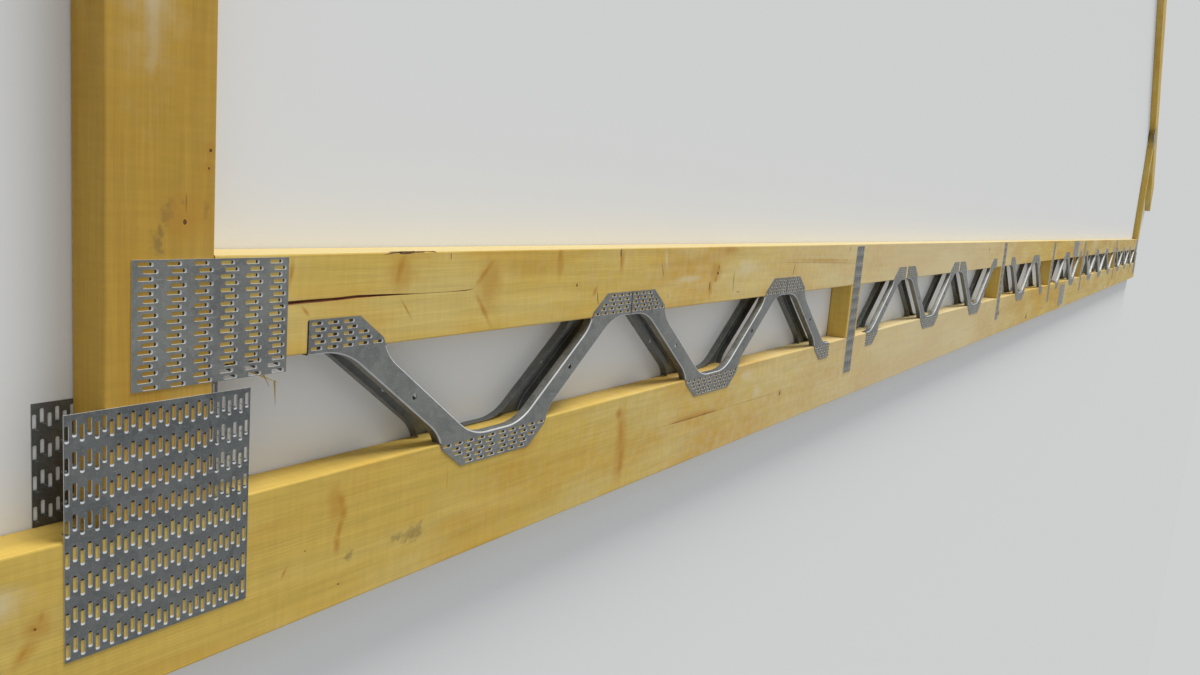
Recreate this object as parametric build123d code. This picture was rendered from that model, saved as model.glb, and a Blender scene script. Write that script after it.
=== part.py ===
"""Attic roof truss: softwood members joined by pressed steel nail plates, with an open metal web floor.

The truss is drawn in its own plane. X runs along the span from the middle, Y runs up the truss from the
underside of the bottom chord, and Z is the thickness, from the outer face of the back plates. It lies
flat on those back plates. All sizes are in millimetres.
"""

import os
from dataclasses import dataclass
from math import atan2, cos, degrees, radians, sin, tan

from build123d import *

# Sawn timber sections
TIMBER_T = 47.0
BOTTOM_CHORD_D = 147.0
FLOOR_CHORD_D = 97.0
KNEE_POST_W = 97.0
FLOOR_POST_W = 72.0
RAFTER_D = 197.0
TIE_D = 147.0
KING_POST_W = 97.0
STRUT_D = 97.0
BUTT_GAP = 0.4

# Setting out of the floor and the roof
WEB_GAP = 126.0
CHORD_PAST_POST = 100.0
KNEE_HEIGHT = 990.0
ROOF_PITCH = 35.0
EAVES_OVERHANG = 900.0
ROOM_HEIGHT = 2400.0
RAFTER_JOINT_X = 1500.0
BOTTOM_JOINT_PAST_POST = 491.0
FLOOR_JOINT_BEFORE_POST = 399.0
BOTTOM_JOINT_POST = 3
FLOOR_JOINT_POST = 4

# Steel thickness, for nail plates and webs alike
STEEL_T = 1.0

# Nail plates on the posts: width, and how far each laps on the chords or stops short of another
HEEL_PLATE_W = 168.0
HEEL_PLATE_PAST_POST = 32.5
HEEL_PLATE_ON_CHORD = 101.0
KNEE_PLATE = (152.4, 108.0)
KNEE_PLATE_INSET = 22.0
KNEE_PLATE_BELOW_CHORD = 14.0
END_PLATES_APART = 10.0
STRAP_W = 49.0
STRAP_ON_BOTTOM_CHORD = 85.0
STRAP_ON_FLOOR_CHORD = 92.0

# Nail plates over joints: length along the member, then width across it
BOTTOM_JOINT_PLATE = (178.0, 114.0)
FLOOR_JOINT_PLATE = (203.0, 90.0)
EAVES_PLATE = (254.0, 152.0)
TIE_PLATE = (305.0, 203.0)
RAFTER_JOINT_PLATE = (406.0, 203.0)
RIDGE_PLATE = (305.0, 254.0)
KING_FOOT_PLATE = (305.0, 152.0)

# Punched slots of the nail plates
SLOT_LENGTH = 12.5
SLOT_WIDTH = 3.2
SLOT_PITCH = 25.4
SLOT_ROW_PITCH = 6.0
SLOT_STAGGER = 4.2

# Pressed steel web: one V is two legs, point by point the same about the middle of each leg
WEB_LENGTH = 596.0
HALF_WEB_CUT = 10.0
WEB_BITE = 33.0
WEB_LEG_W = 27.6
WEB_LEG_ANGLE = 37.5
WEB_PLATE_TOP = 65.0
WEB_PLATE_SIDE = 98.5
WEB_CHAMFER = 25.0
WEB_NECK = 15.0
WEB_BEND_R = 80.0
WEB_LIP = 1.8
FLANGE_D = 12.0
FLANGE_CLEARANCE = 0.6


# Bays of the floor from left to right: gap, webs, seam between webs, gap. V is a whole web, D a single
# leg that falls to the right and U a single leg that rises to the right
BAY_LEADS = (103.0, 86.0, 128.0, 179.0, 88.0, 50.0)
BAY_WEBS = ("VVD", "UVV", "VD", "UV", "VVV", "VVV")
BAY_SEAMS = (2.0, 22.0, 12.0, 10.0, 2.0, 2.0)
BAY_TRAILS = (113.0, 100.0, 187.0, 90.0, 52.0, 105.0)


@dataclass(frozen=True)
class Bay:
    """One bay of the floor, between two posts."""

    lead: float
    webs: str
    seam: float
    trail: float


BAYS = tuple(Bay(*sizes) for sizes in zip(BAY_LEADS, BAY_WEBS, BAY_SEAMS, BAY_TRAILS))

# Worked out from the sizes above
HALF_WEB_LENGTH = WEB_LENGTH / 2 - HALF_WEB_CUT
GAP_TOP = BOTTOM_CHORD_D + WEB_GAP
FLOOR_TOP = GAP_TOP + FLOOR_CHORD_D
TIE_BASE = FLOOR_TOP + ROOM_HEIGHT
TIE_TOP = TIE_BASE + TIE_D
SLOPE = tan(radians(ROOF_PITCH))
RAFTER_PLUMB = RAFTER_D / cos(radians(ROOF_PITCH))
BACK_FACE = STEEL_T
FRONT_FACE = STEEL_T + TIMBER_T


def web_length(kind):
    """Length of one web along the chords."""
    return WEB_LENGTH if kind == "V" else HALF_WEB_LENGTH


def bay_clear(bay):
    """Clear length of a bay, between the timbers at its two ends."""
    seams = (len(bay.webs) - 1) * bay.seam
    return bay.lead + sum(web_length(kind) for kind in bay.webs) + seams + bay.trail


SPAN = 2 * KNEE_POST_W + sum(bay_clear(bay) for bay in BAYS) + (len(BAYS) - 1) * FLOOR_POST_W
LEFT = -SPAN / 2
POST_INNER = SPAN / 2 - KNEE_POST_W
TAIL_END = SPAN / 2 + EAVES_OVERHANG
KNEE_TOP = FLOOR_TOP + KNEE_HEIGHT


def rafter_underside(x):
    """Height of the rafters' underside at a place along the span."""
    return KNEE_TOP + (POST_INNER - abs(x)) * SLOPE


def rafter_top(x):
    """Height of the rafters' top edge at a place along the span."""
    return rafter_underside(x) + RAFTER_PLUMB


HEIGHT = rafter_top(BUTT_GAP / 2)


def timber(outline):
    """A timber member from its outline in the plane of the truss."""
    return extrude(Plane.XY.offset(BACK_FACE) * outline, TIMBER_T)


def polygon(*points):
    """A face from its corner points, given in order."""
    return make_face(Polyline(*points, close=True))


def block(x_low, x_high, y_low, y_high):
    """An upright rectangle by its edges."""
    return polygon((x_low, y_low), (x_high, y_low), (x_high, y_high), (x_low, y_high))


def mirrored(shape, side):
    """A shape drawn for the left of the truss, or its mirror image on the right."""
    return shape if side == "left" else mirror(shape, about=Plane.YZ)


def bays_with_starts():
    """Each bay with the place where its clear length starts."""
    start = LEFT + KNEE_POST_W
    for bay in BAYS:
        yield bay, start
        start += bay_clear(bay) + FLOOR_POST_W


def floor_post_places():
    """Middle of each floor post along the span."""
    starts = [start for _, start in bays_with_starts()]
    return [start - FLOOR_POST_W / 2 for start in starts[1:]]


def chord_joint_places():
    """Joints in the bottom chord and in the floor's top chord, each set out from a floor post."""
    posts = floor_post_places()
    bottom = posts[int(BOTTOM_JOINT_POST) - 1] + BOTTOM_JOINT_PAST_POST
    floor = posts[int(FLOOR_JOINT_POST) - 1] - FLOOR_JOINT_BEFORE_POST
    return bottom, floor


def make_chords():
    """The bottom chord and the floor's top chord, each in two lengths."""
    chord_end = SPAN / 2 + CHORD_PAST_POST
    half_gap = BUTT_GAP / 2
    bottom_joint, floor_joint = chord_joint_places()
    floor_end = POST_INNER - BUTT_GAP
    return {
        "bottom_chord_left": timber(block(-chord_end, bottom_joint - half_gap, 0, BOTTOM_CHORD_D)),
        "bottom_chord_right": timber(block(bottom_joint + half_gap, chord_end, 0, BOTTOM_CHORD_D)),
        "floor_chord_left": timber(block(-floor_end, floor_joint - half_gap, GAP_TOP, FLOOR_TOP)),
        "floor_chord_right": timber(block(floor_joint + half_gap, floor_end, GAP_TOP, FLOOR_TOP)),
    }


def make_knee_post(side):
    """A post at the end of the floor, cut to the slope of the rafter that it carries."""
    base = BOTTOM_CHORD_D + BUTT_GAP
    outer, inner = LEFT, -POST_INNER
    outline = polygon(
        (outer, base),
        (inner, base),
        (inner, rafter_underside(inner) - BUTT_GAP),
        (outer, rafter_underside(outer) - BUTT_GAP),
    )
    return mirrored(timber(outline), side)


def make_floor_posts():
    """Short upright blocks between the floor's chords."""
    half = FLOOR_POST_W / 2
    return {
        f"floor_post_{number}": timber(
            block(x - half, x + half, BOTTOM_CHORD_D + BUTT_GAP, GAP_TOP - BUTT_GAP)
        )
        for number, x in enumerate(floor_post_places(), start=1)
    }


def make_rafter(side):
    """A rafter in two lengths, with a plumb cut tail and a plumb cut at the ridge."""
    tail, joint = -TAIL_END, -RAFTER_JOINT_X
    ridge = -BUTT_GAP / 2
    lean_x = RAFTER_D * sin(radians(ROOF_PITCH))
    lean_y = RAFTER_D * cos(radians(ROOF_PITCH))
    lower = polygon(
        (tail, rafter_underside(tail)),
        (joint - BUTT_GAP, rafter_underside(joint - BUTT_GAP)),
        (joint - BUTT_GAP - lean_x, rafter_underside(joint - BUTT_GAP) + lean_y),
        (tail, rafter_top(tail)),
    )
    upper = polygon(
        (joint, rafter_underside(joint)),
        (ridge, rafter_underside(ridge)),
        (ridge, rafter_top(ridge)),
        (joint - lean_x, rafter_underside(joint) + lean_y),
    )
    return mirrored(timber(lower), side), mirrored(timber(upper), side)


def rafter_meets(height):
    """Distance from the middle at which the rafters' underside is at a height."""
    return POST_INNER - (height - KNEE_TOP) / SLOPE


def make_ceiling_tie():
    """The tie between the rafters that carries the ceiling."""
    low = rafter_meets(TIE_BASE) - BUTT_GAP
    high = rafter_meets(TIE_TOP) - BUTT_GAP
    return timber(polygon((-low, TIE_BASE), (low, TIE_BASE), (high, TIE_TOP), (-high, TIE_TOP)))


def make_king_post():
    """The upright under the ridge, pointed to fit between the rafters."""
    half, base = KING_POST_W / 2, TIE_TOP + BUTT_GAP
    shoulder = rafter_underside(half) - BUTT_GAP
    peak = rafter_underside(0) - BUTT_GAP
    return timber(polygon((-half, base), (half, base), (half, shoulder), (0, peak), (-half, shoulder)))


def make_strut(side):
    """A strut from the foot of the king post to the joint in the rafter."""
    foot = Vector(-KING_POST_W / 2, TIE_TOP)
    head = Vector(-RAFTER_JOINT_X, rafter_underside(RAFTER_JOINT_X))
    run = head - foot
    middle = (foot + head) / 2
    turn = degrees(atan2(run.Y, run.X))
    bar = Pos(middle.X, middle.Y) * Rot(0, 0, turn) * Rectangle(run.length + 2 * STRUT_D, STRUT_D)
    side_x = -KING_POST_W / 2 - BUTT_GAP
    base = TIE_TOP + BUTT_GAP
    room = polygon(
        (-rafter_meets(base) + BUTT_GAP, base),
        (side_x, base),
        (side_x, rafter_underside(side_x) - BUTT_GAP),
    )
    return mirrored(timber(bar & room), side)


def slot_centres(length, width):
    """Places of a nail plate's slots, in rows along it that step to and fro."""
    rows = round(width / SLOT_ROW_PITCH)
    columns = round(length / SLOT_PITCH)
    for row in range(rows):
        shift = SLOT_STAGGER / 2 if row % 2 else -SLOT_STAGGER / 2
        for column in range(columns):
            x = (column - (columns - 1) / 2) * SLOT_PITCH + shift
            yield x, (row - (rows - 1) / 2) * SLOT_ROW_PITCH


def nail_plate(size, at, turn=0.0, slots=None):
    """Outline of a nail plate: a rectangle by its size, middle and turn, with its slots if they are cut.

    Slots is the direction that the slots run in, "along" or "across" the first size.
    """
    plate = Rectangle(*size)
    if slots == "along":
        places = list(slot_centres(size[0], size[1]))
        plate -= [Pos(x, y) * Rectangle(SLOT_LENGTH, SLOT_WIDTH) for x, y in places]
    if slots == "across":
        places = list(slot_centres(size[1], size[0]))
        plate -= [Pos(y, x) * Rectangle(SLOT_WIDTH, SLOT_LENGTH) for x, y in places]
    return Pos(*at) * Rot(0, 0, turn) * plate


def on_front(outline):
    """A plate pressed on the front face."""
    return extrude(Plane.XY.offset(FRONT_FACE) * outline, STEEL_T)


def on_back(outline):
    """A plate pressed on the back face."""
    return extrude(outline, STEEL_T)


def heel_plate_outline(slots=None):
    """The large plate that joins the left knee post to the bottom chord."""
    base = BOTTOM_CHORD_D - HEEL_PLATE_ON_CHORD
    up = GAP_TOP - KNEE_PLATE_BELOW_CHORD - END_PLATES_APART - base
    middle = (LEFT - HEEL_PLATE_PAST_POST + HEEL_PLATE_W / 2, base + up / 2)
    return nail_plate((HEEL_PLATE_W, up), middle, slots=slots)


def knee_plate_outline():
    """The plate that joins the left knee post to the floor's top chord."""
    across, up = KNEE_PLATE
    middle = (LEFT + KNEE_PLATE_INSET + across / 2, GAP_TOP - KNEE_PLATE_BELOW_CHORD + up / 2)
    return nail_plate(KNEE_PLATE, middle)


def make_end_plates():
    """Heel and knee plates at both ends, on both faces."""
    nodes = {}
    for side in ("left", "right"):
        slots = "across" if side == "left" else None
        nodes[f"heel_plate_{side}_front"] = mirrored(on_front(heel_plate_outline(slots)), side)
        nodes[f"heel_plate_{side}_back"] = mirrored(on_back(heel_plate_outline()), side)
        nodes[f"knee_plate_{side}_front"] = mirrored(on_front(knee_plate_outline()), side)
        nodes[f"knee_plate_{side}_back"] = mirrored(on_back(knee_plate_outline()), side)
    return nodes


def make_straps():
    """Narrow upright plates that join each floor post to both chords, on both faces."""
    low = BOTTOM_CHORD_D - STRAP_ON_BOTTOM_CHORD
    high = GAP_TOP + STRAP_ON_FLOOR_CHORD
    nodes = {}
    for number, x in enumerate(floor_post_places(), start=1):
        outline = nail_plate((STRAP_W, high - low), (x, (low + high) / 2))
        nodes[f"strap_plate_{number}_front"] = on_front(outline)
        nodes[f"strap_plate_{number}_back"] = on_back(outline)
    return nodes


def plate_pair(outline):
    """The same plate on the front and on the back."""
    return [on_front(outline), on_back(outline)]


def make_joint_plates():
    """Plates over the joints in the chords, and at the joints of the roof."""
    bottom_x, floor_x = chord_joint_places()
    bottom_joint = (bottom_x, BOTTOM_CHORD_D / 2)
    floor_joint = (floor_x, GAP_TOP + FLOOR_CHORD_D / 2)
    nodes = {
        "bottom_joint_plates": plate_pair(nail_plate(BOTTOM_JOINT_PLATE, bottom_joint)),
        "floor_joint_plates": plate_pair(nail_plate(FLOOR_JOINT_PLATE, floor_joint)),
        "ridge_plates": plate_pair(nail_plate(RIDGE_PLATE, (0, rafter_underside(0)))),
        "king_foot_plates": plate_pair(nail_plate(KING_FOOT_PLATE, (0, TIE_TOP))),
    }
    eaves_x = -(POST_INNER + KNEE_POST_W / 2)
    tie_x = -rafter_meets(TIE_BASE + TIE_D / 2)
    for side in ("left", "right"):
        roof_plates = {
            "eaves_plates": (EAVES_PLATE, eaves_x),
            "tie_plates": (TIE_PLATE, tie_x),
            "rafter_joint_plates": (RAFTER_JOINT_PLATE, -RAFTER_JOINT_X),
        }
        for name, (size, x) in roof_plates.items():
            outline = nail_plate(size, (x, rafter_underside(x)), turn=ROOF_PITCH)
            nodes[f"{name}_{side}"] = [mirrored(plate, side) for plate in plate_pair(outline)]
    return nodes


def leg_edge(middle, along, across, height):
    """Point where the upper edge of a web's leg is at a height."""
    start = middle + across * (WEB_LEG_W / 2)
    point = start + along * ((height - start.Y) / along.Y)
    return point.X, point.Y


def half_web_outline():
    """Outline of the left half of a web: half plate, falling leg and half of the lower plate."""
    middle = Vector(WEB_LENGTH / 4, BOTTOM_CHORD_D + WEB_GAP / 2)
    along = Vector(cos(radians(WEB_LEG_ANGLE)), -sin(radians(WEB_LEG_ANGLE)))
    across = Vector(-along.Y, along.X)
    plate_top = GAP_TOP + WEB_BITE
    lower_lip = BOTTOM_CHORD_D + WEB_LIP
    upper = [
        (0, plate_top),
        (WEB_PLATE_TOP, plate_top),
        (WEB_PLATE_SIDE, plate_top - WEB_CHAMFER),
        leg_edge(middle, along, across, GAP_TOP - WEB_NECK),
        leg_edge(middle, along, across, lower_lip),
        (WEB_LENGTH / 2, lower_lip),
    ]
    lower = [(2 * middle.X - x, 2 * middle.Y - y) for x, y in upper]
    bends = [0, 0, 0, WEB_BEND_R]
    edges = [
        FilletPolyline(*upper, radius=bends),
        Line(upper[-1], lower[0]),
        FilletPolyline(*lower, radius=bends),
        Line(lower[-1], upper[0]),
    ]
    return make_face(edges)


def web_outline(kind):
    """Outline of a whole web, or of a single leg cut from one."""
    half = half_web_outline()
    if kind == "V":
        return half + mirror(half, about=Plane.YZ.offset(WEB_LENGTH / 2))
    leg = half & block(0, HALF_WEB_LENGTH, 0, FLOOR_TOP)
    return leg if kind == "D" else mirror(leg, about=Plane.YZ.offset(HALF_WEB_LENGTH / 2))


def make_web(kind):
    """A web on the front face: a pressed sheet with its edges bent back between the chords."""
    outline = web_outline(kind)
    length = web_length(kind)
    between = block(0, length, BOTTOM_CHORD_D + FLANGE_CLEARANCE, GAP_TOP - FLANGE_CLEARANCE)
    rim = (outline - offset(outline, -STEEL_T)) & between
    sheet = extrude(Plane.XY.offset(FRONT_FACE) * outline, STEEL_T)
    flange = extrude(Plane.XY.offset(FRONT_FACE - FLANGE_D) * rim, FLANGE_D + STEEL_T)
    return sheet + flange


def make_webs():
    """The webs of each bay, on the front and on the back."""
    pressed = {kind: make_web(kind) for kind in "VDU"}
    behind = Plane.XY.offset(STEEL_T + TIMBER_T / 2)
    nodes = {}
    for number, (bay, start) in enumerate(bays_with_starts(), start=1):
        front = []
        x = start + bay.lead
        for kind in bay.webs:
            front.append(Pos(x, 0) * pressed[kind])
            x += web_length(kind) + bay.seam
        nodes[f"bay_{number}_webs_front"] = front
        nodes[f"bay_{number}_webs_back"] = [mirror(web, about=behind) for web in front]
    return nodes


def make_nodes():
    """Every node of the truss by its name, as one shape or a list of shapes that don't touch."""
    nodes = make_chords()
    for side in ("left", "right"):
        nodes[f"knee_post_{side}"] = make_knee_post(side)
        nodes[f"rafter_lower_{side}"], nodes[f"rafter_upper_{side}"] = make_rafter(side)
        nodes[f"strut_{side}"] = make_strut(side)
    nodes.update(make_floor_posts())
    nodes["ceiling_tie"] = make_ceiling_tie()
    nodes["king_post"] = make_king_post()
    nodes.update(make_end_plates())
    nodes.update(make_straps())
    nodes.update(make_joint_plates())
    nodes.update(make_webs())
    return nodes


def main():
    """Writes one file per node, with the origin under the middle of the truss's outline."""
    os.makedirs("parts", exist_ok=True)
    to_origin = Pos(0, -HEIGHT / 2, 0)
    for name, shape in make_nodes().items():
        pieces = shape if isinstance(shape, list) else [shape]
        solids = [solid for piece in pieces for solid in (to_origin * piece).solids()]
        body = solids[0] if len(solids) == 1 else Compound(children=solids)
        export_step(body, f"parts/{name}.step")


main()
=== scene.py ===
"""Looks of the attic roof truss: sawn softwood, punched nail plates and pressed steel floor webs.

The truss lies on its back plates. X runs along the span, Y up the truss and Z out of its front face,
all in metres. Marks on the timber are set out from the lower left corner of the truss: along the chord
from the left knee post's outer face, and up from the underside of the bottom chord.
"""

import logging
import math
import random
from collections.abc import Iterable, Sequence
from dataclasses import dataclass, field
from enum import Enum

import bmesh
import bpy
from mathutils import Matrix, Vector
from mathutils.bvhtree import BVHTree


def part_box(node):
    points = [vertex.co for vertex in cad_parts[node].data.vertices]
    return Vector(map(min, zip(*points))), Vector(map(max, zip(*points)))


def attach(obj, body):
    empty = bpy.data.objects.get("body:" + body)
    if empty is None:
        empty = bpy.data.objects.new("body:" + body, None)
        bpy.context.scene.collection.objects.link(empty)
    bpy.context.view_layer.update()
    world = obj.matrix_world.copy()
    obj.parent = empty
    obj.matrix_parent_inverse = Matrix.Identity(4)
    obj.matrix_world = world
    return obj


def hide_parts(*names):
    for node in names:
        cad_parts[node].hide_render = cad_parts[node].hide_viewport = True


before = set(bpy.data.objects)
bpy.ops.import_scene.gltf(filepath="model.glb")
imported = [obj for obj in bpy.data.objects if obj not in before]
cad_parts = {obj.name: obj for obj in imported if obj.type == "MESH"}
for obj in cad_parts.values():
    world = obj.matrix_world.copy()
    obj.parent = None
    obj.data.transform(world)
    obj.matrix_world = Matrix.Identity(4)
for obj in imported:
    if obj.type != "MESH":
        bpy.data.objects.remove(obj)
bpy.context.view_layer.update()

log = logging.getLogger("truss")

MM = 0.001
MERGE_REACH = 0.01 * MM
LEVEL_REACH = 0.1 * MM
SMOOTH_ANGLE = math.radians(38)
FLAT_ANGLE = math.radians(0.5)
PARALLEL = 0.99
TIMBER_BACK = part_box("bottom_chord_left")[0].z
TIMBER_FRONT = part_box("bottom_chord_left")[1].z
STEEL_T = TIMBER_BACK
MID_PLANE = (TIMBER_BACK + TIMBER_FRONT) / 2
CORNER = Vector((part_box("knee_post_left")[0].x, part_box("bottom_chord_left")[0].y, 0))
CHORD_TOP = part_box("bottom_chord_left")[1].y
GAP_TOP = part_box("floor_chord_left")[0].y


class Face(Enum):
    """The side of the truss that a pressing lies on."""

    FRONT = "front"
    BACK = "back"


class WebKind(Enum):
    """A whole web with two legs, or one leg that falls or rises to the right."""

    WHOLE = "whole"
    FALLING = "falling"
    RISING = "rising"


class Slot(Enum):
    """Material slots of the stored part."""

    WOOD = "softwood"
    STEEL = "galvanised_steel"


def setting_out(along: float, up: float) -> Vector:
    """Place in the truss of a mark set out in millimetres from its lower left corner.

    Args:
        along: Distance from the left knee post's outer face.
        up: Height over the underside of the bottom chord.

    Returns:
        The place in metres, in the plane of the truss.
    """
    return CORNER + Vector((along, up, 0)) * MM


class Steel(Enum):
    """Finishes of a pressing, by the number of their material slot."""

    FACE = 0
    # Lighter finish of cut edges and bends: a painted highlight.
    EDGE_HIGHLIGHT = 1
    # Dark patches on the timber: partly crushed pits, partly painted shadow.
    PIT_AND_SHADOW = 2


def shade(red: float, green: float, blue: float) -> tuple[float, float, float, float]:
    """A colour as it looks on a screen, from 0 to 255, made linear for the shader."""
    parts = [value / 255 for value in (red, green, blue)]
    return (*(part / 12.92 if part <= 0.04045 else ((part + 0.055) / 1.055) ** 2.4 for part in parts), 1.0)


@dataclass(frozen=True)
class Cloud:
    """A noise, and the smooth step that turns it into a share or a tone."""

    scale: tuple
    detail: float
    low: float
    high: float
    start: float = 0
    end: float = 1
    shift: float = 0


class Graph:
    """A node material under construction."""

    NOISE_SHIFT = (1, 0.7, 1.3)

    def __init__(self, name: str) -> None:
        """Starts a material with its Principled shader.

        Args:
            name: Name of the material.
        """
        self.material = bpy.data.materials.new(name)
        self.material.use_nodes = True
        self.tree = self.material.node_tree
        self.shader = self.tree.nodes["Principled BSDF"]

    def put(self, socket: bpy.types.NodeSocket, value: object) -> None:
        """Links a socket to another one, or gives it a plain value.

        Args:
            socket: The input.
            value: The other socket, or the value.
        """
        if isinstance(value, bpy.types.NodeSocket):
            self.tree.links.new(value, socket)
        else:
            socket.default_value = value

    def node(self, kind: str, inputs: dict | None = None, **settings: object) -> bpy.types.Node:
        """Adds a node.

        Args:
            kind: Type of the node, without its ShaderNode prefix.
            inputs: Values or sockets for its inputs, by name or number.
            settings: Its other properties.

        Returns:
            The new node.
        """
        new = self.tree.nodes.new("ShaderNode" + kind)
        for key, value in settings.items():
            setattr(new, key, value)
        for key, value in (inputs or {}).items():
            self.put(new.inputs[key], value)
        return new

    def math(self, operation: str, *values: object) -> bpy.types.NodeSocket:
        """Adds a Math node on one to three values and gives its result."""
        return self.node("Math", dict(enumerate(values)), operation=operation).outputs[0]

    def vector(self, operation: str, *values: object) -> bpy.types.NodeSocket:
        """Adds a Vector Math node on one or two vectors and gives its result."""
        new = self.node("VectorMath", dict(enumerate(values)), operation=operation)
        return new.outputs["Value" if operation in ("LENGTH", "DOT_PRODUCT") else "Vector"]

    def ramp(
        self, value: object, low: float, high: float, start: float = 0, end: float = 1
    ) -> bpy.types.NodeSocket:
        """A smooth step of a value.

        Args:
            value: Socket that is mapped.
            low: Value at which the step starts.
            high: Value at which it ends.
            start: Result before the step.
            end: Result after the step.

        Returns:
            The socket with the result.
        """
        inputs = {"Value": value, "From Min": low, "From Max": high, "To Min": start, "To Max": end}
        return self.node("MapRange", inputs, interpolation_type="SMOOTHSTEP").outputs[0]

    def band(self, value: object, edges: Sequence[float]) -> bpy.types.NodeSocket:
        """A share that rises between the first two edges of a value and falls between the last two."""
        return self.math("MULTIPLY", self.ramp(value, *edges[:2]), self.ramp(value, *edges[2:], 1, 0))

    def noise(
        self, place: object, scale: Sequence[float], detail: float, shift: float = 0
    ) -> bpy.types.NodeSocket:
        """Noise stretched by a scale along each axis.

        Args:
            place: Socket with the place.
            scale: Waves per metre along each axis.
            detail: Octaves of the noise.
            shift: Moves the pattern, so that pieces differ.

        Returns:
            The noise, around one half.
        """
        location = tuple(shift * part for part in self.NOISE_SHIFT)
        stretched = self.node("Mapping", {"Vector": place, "Scale": scale, "Location": location}).outputs[0]
        return self.node("TexNoise", {"Vector": stretched, "Scale": 1.0, "Detail": detail}).outputs[0]

    def pattern(self, place: object, cloud: Cloud, seed: float = 0) -> bpy.types.NodeSocket:
        """The noise of a cloud, before its step."""
        return self.noise(place, cloud.scale, cloud.detail, seed + cloud.shift)

    def stepped(self, value: object, cloud: Cloud) -> bpy.types.NodeSocket:
        """A noise after a cloud's step."""
        return self.ramp(value, cloud.low, cloud.high, cloud.start, cloud.end)

    def cloud(self, place: object, cloud: Cloud, seed: float = 0) -> bpy.types.NodeSocket:
        """The noise of a cloud after its step."""
        return self.stepped(self.pattern(place, cloud, seed), cloud)

    def mix(self, factor: object, first: object, second: object, blend: str = "MIX") -> bpy.types.NodeSocket:
        """Mixes two colours.

        Args:
            factor: Share of the second.
            first: First colour.
            second: Second colour.
            blend: How they are mixed.

        Returns:
            The mixed colour.
        """
        new = self.node("Mix", data_type="RGBA", blend_type=blend)
        for number, value in ((0, factor), (6, first), (7, second)):
            self.put(new.inputs[number], value)
        return new.outputs[2]

    def scaled(self, colour: object, share: object) -> bpy.types.NodeSocket:
        """A colour made darker or lighter by a share."""
        grey = self.node("CombineColor", {number: share for number in range(3)}).outputs[0]
        return self.mix(1.0, colour, grey, "MULTIPLY")

    def bump(self, height: object, strength: float, distance: float) -> None:
        """Gives the shader a bump from a height, with its depth in metres."""
        inputs = {"Height": height, "Strength": strength, "Distance": distance}
        self.put(self.shader.inputs["Normal"], self.node("Bump", inputs).outputs[0])


class Blemish(Enum):
    """What shows on a sawn face."""

    PALE = "pale"
    RESIN = "resin"
    STAIN = "stain"
    CRACK = "crack"
    HALO = "halo"
    KNOT = "knot"


@dataclass(frozen=True)
class BlemishLook:
    """How one kind of blemish shows. The edge that it fades over is in its half sizes."""

    colour: tuple
    strength: float
    core: float
    edge: float
    grain: float
    ragged: float
    detail: float = 4


LOOKS = {
    Blemish.PALE: BlemishLook(shade(216, 204, 172), 0.55, 0.1, 1.3, 60, 0.9),
    Blemish.RESIN: BlemishLook(shade(172, 116, 28), 0.72, 0.0, 1.25, 90, 1.2),
    Blemish.STAIN: BlemishLook(shade(112, 92, 56), 0.5, 0.1, 1.1, 170, 2.4),
    Blemish.CRACK: BlemishLook(shade(112, 72, 32), 0.75, 0.6, 1.5, 45, 1.3),
    Blemish.HALO: BlemishLook(shade(182, 134, 48), 0.6, 0.2, 1.25, 70, 0.8),
    Blemish.KNOT: BlemishLook(shade(96, 56, 22), 0.92, 0.8, 1.12, 260, 0.35),
}


@dataclass(frozen=True)
class Mark:
    """A blemish on the front face: its kind, place, half sizes and turn, in mm and degrees."""

    kind: Blemish
    along: float
    up: float
    half_long: float
    half_wide: float
    turn: float = 0


HALO_MARGIN = (3, 4)


def knot(along: float, up: float, half_long: float, half_wide: float, turn: float = 0) -> list[Mark]:
    """A knot with warm wood round it, twice its size and a margin wide."""
    halo = Mark(Blemish.HALO, along, up, half_long * 2 + HALO_MARGIN[0], half_wide * 2 + HALO_MARGIN[1], turn)
    return [halo, Mark(Blemish.KNOT, along, up, half_long, half_wide, turn)]


def marks_of(table: dict[Blemish, Sequence[tuple]]) -> list[Mark]:
    """Marks from a table with rows of place, half sizes and turn for each kind."""
    return [Mark(kind, *row) for kind, rows in table.items() for row in rows]


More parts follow.
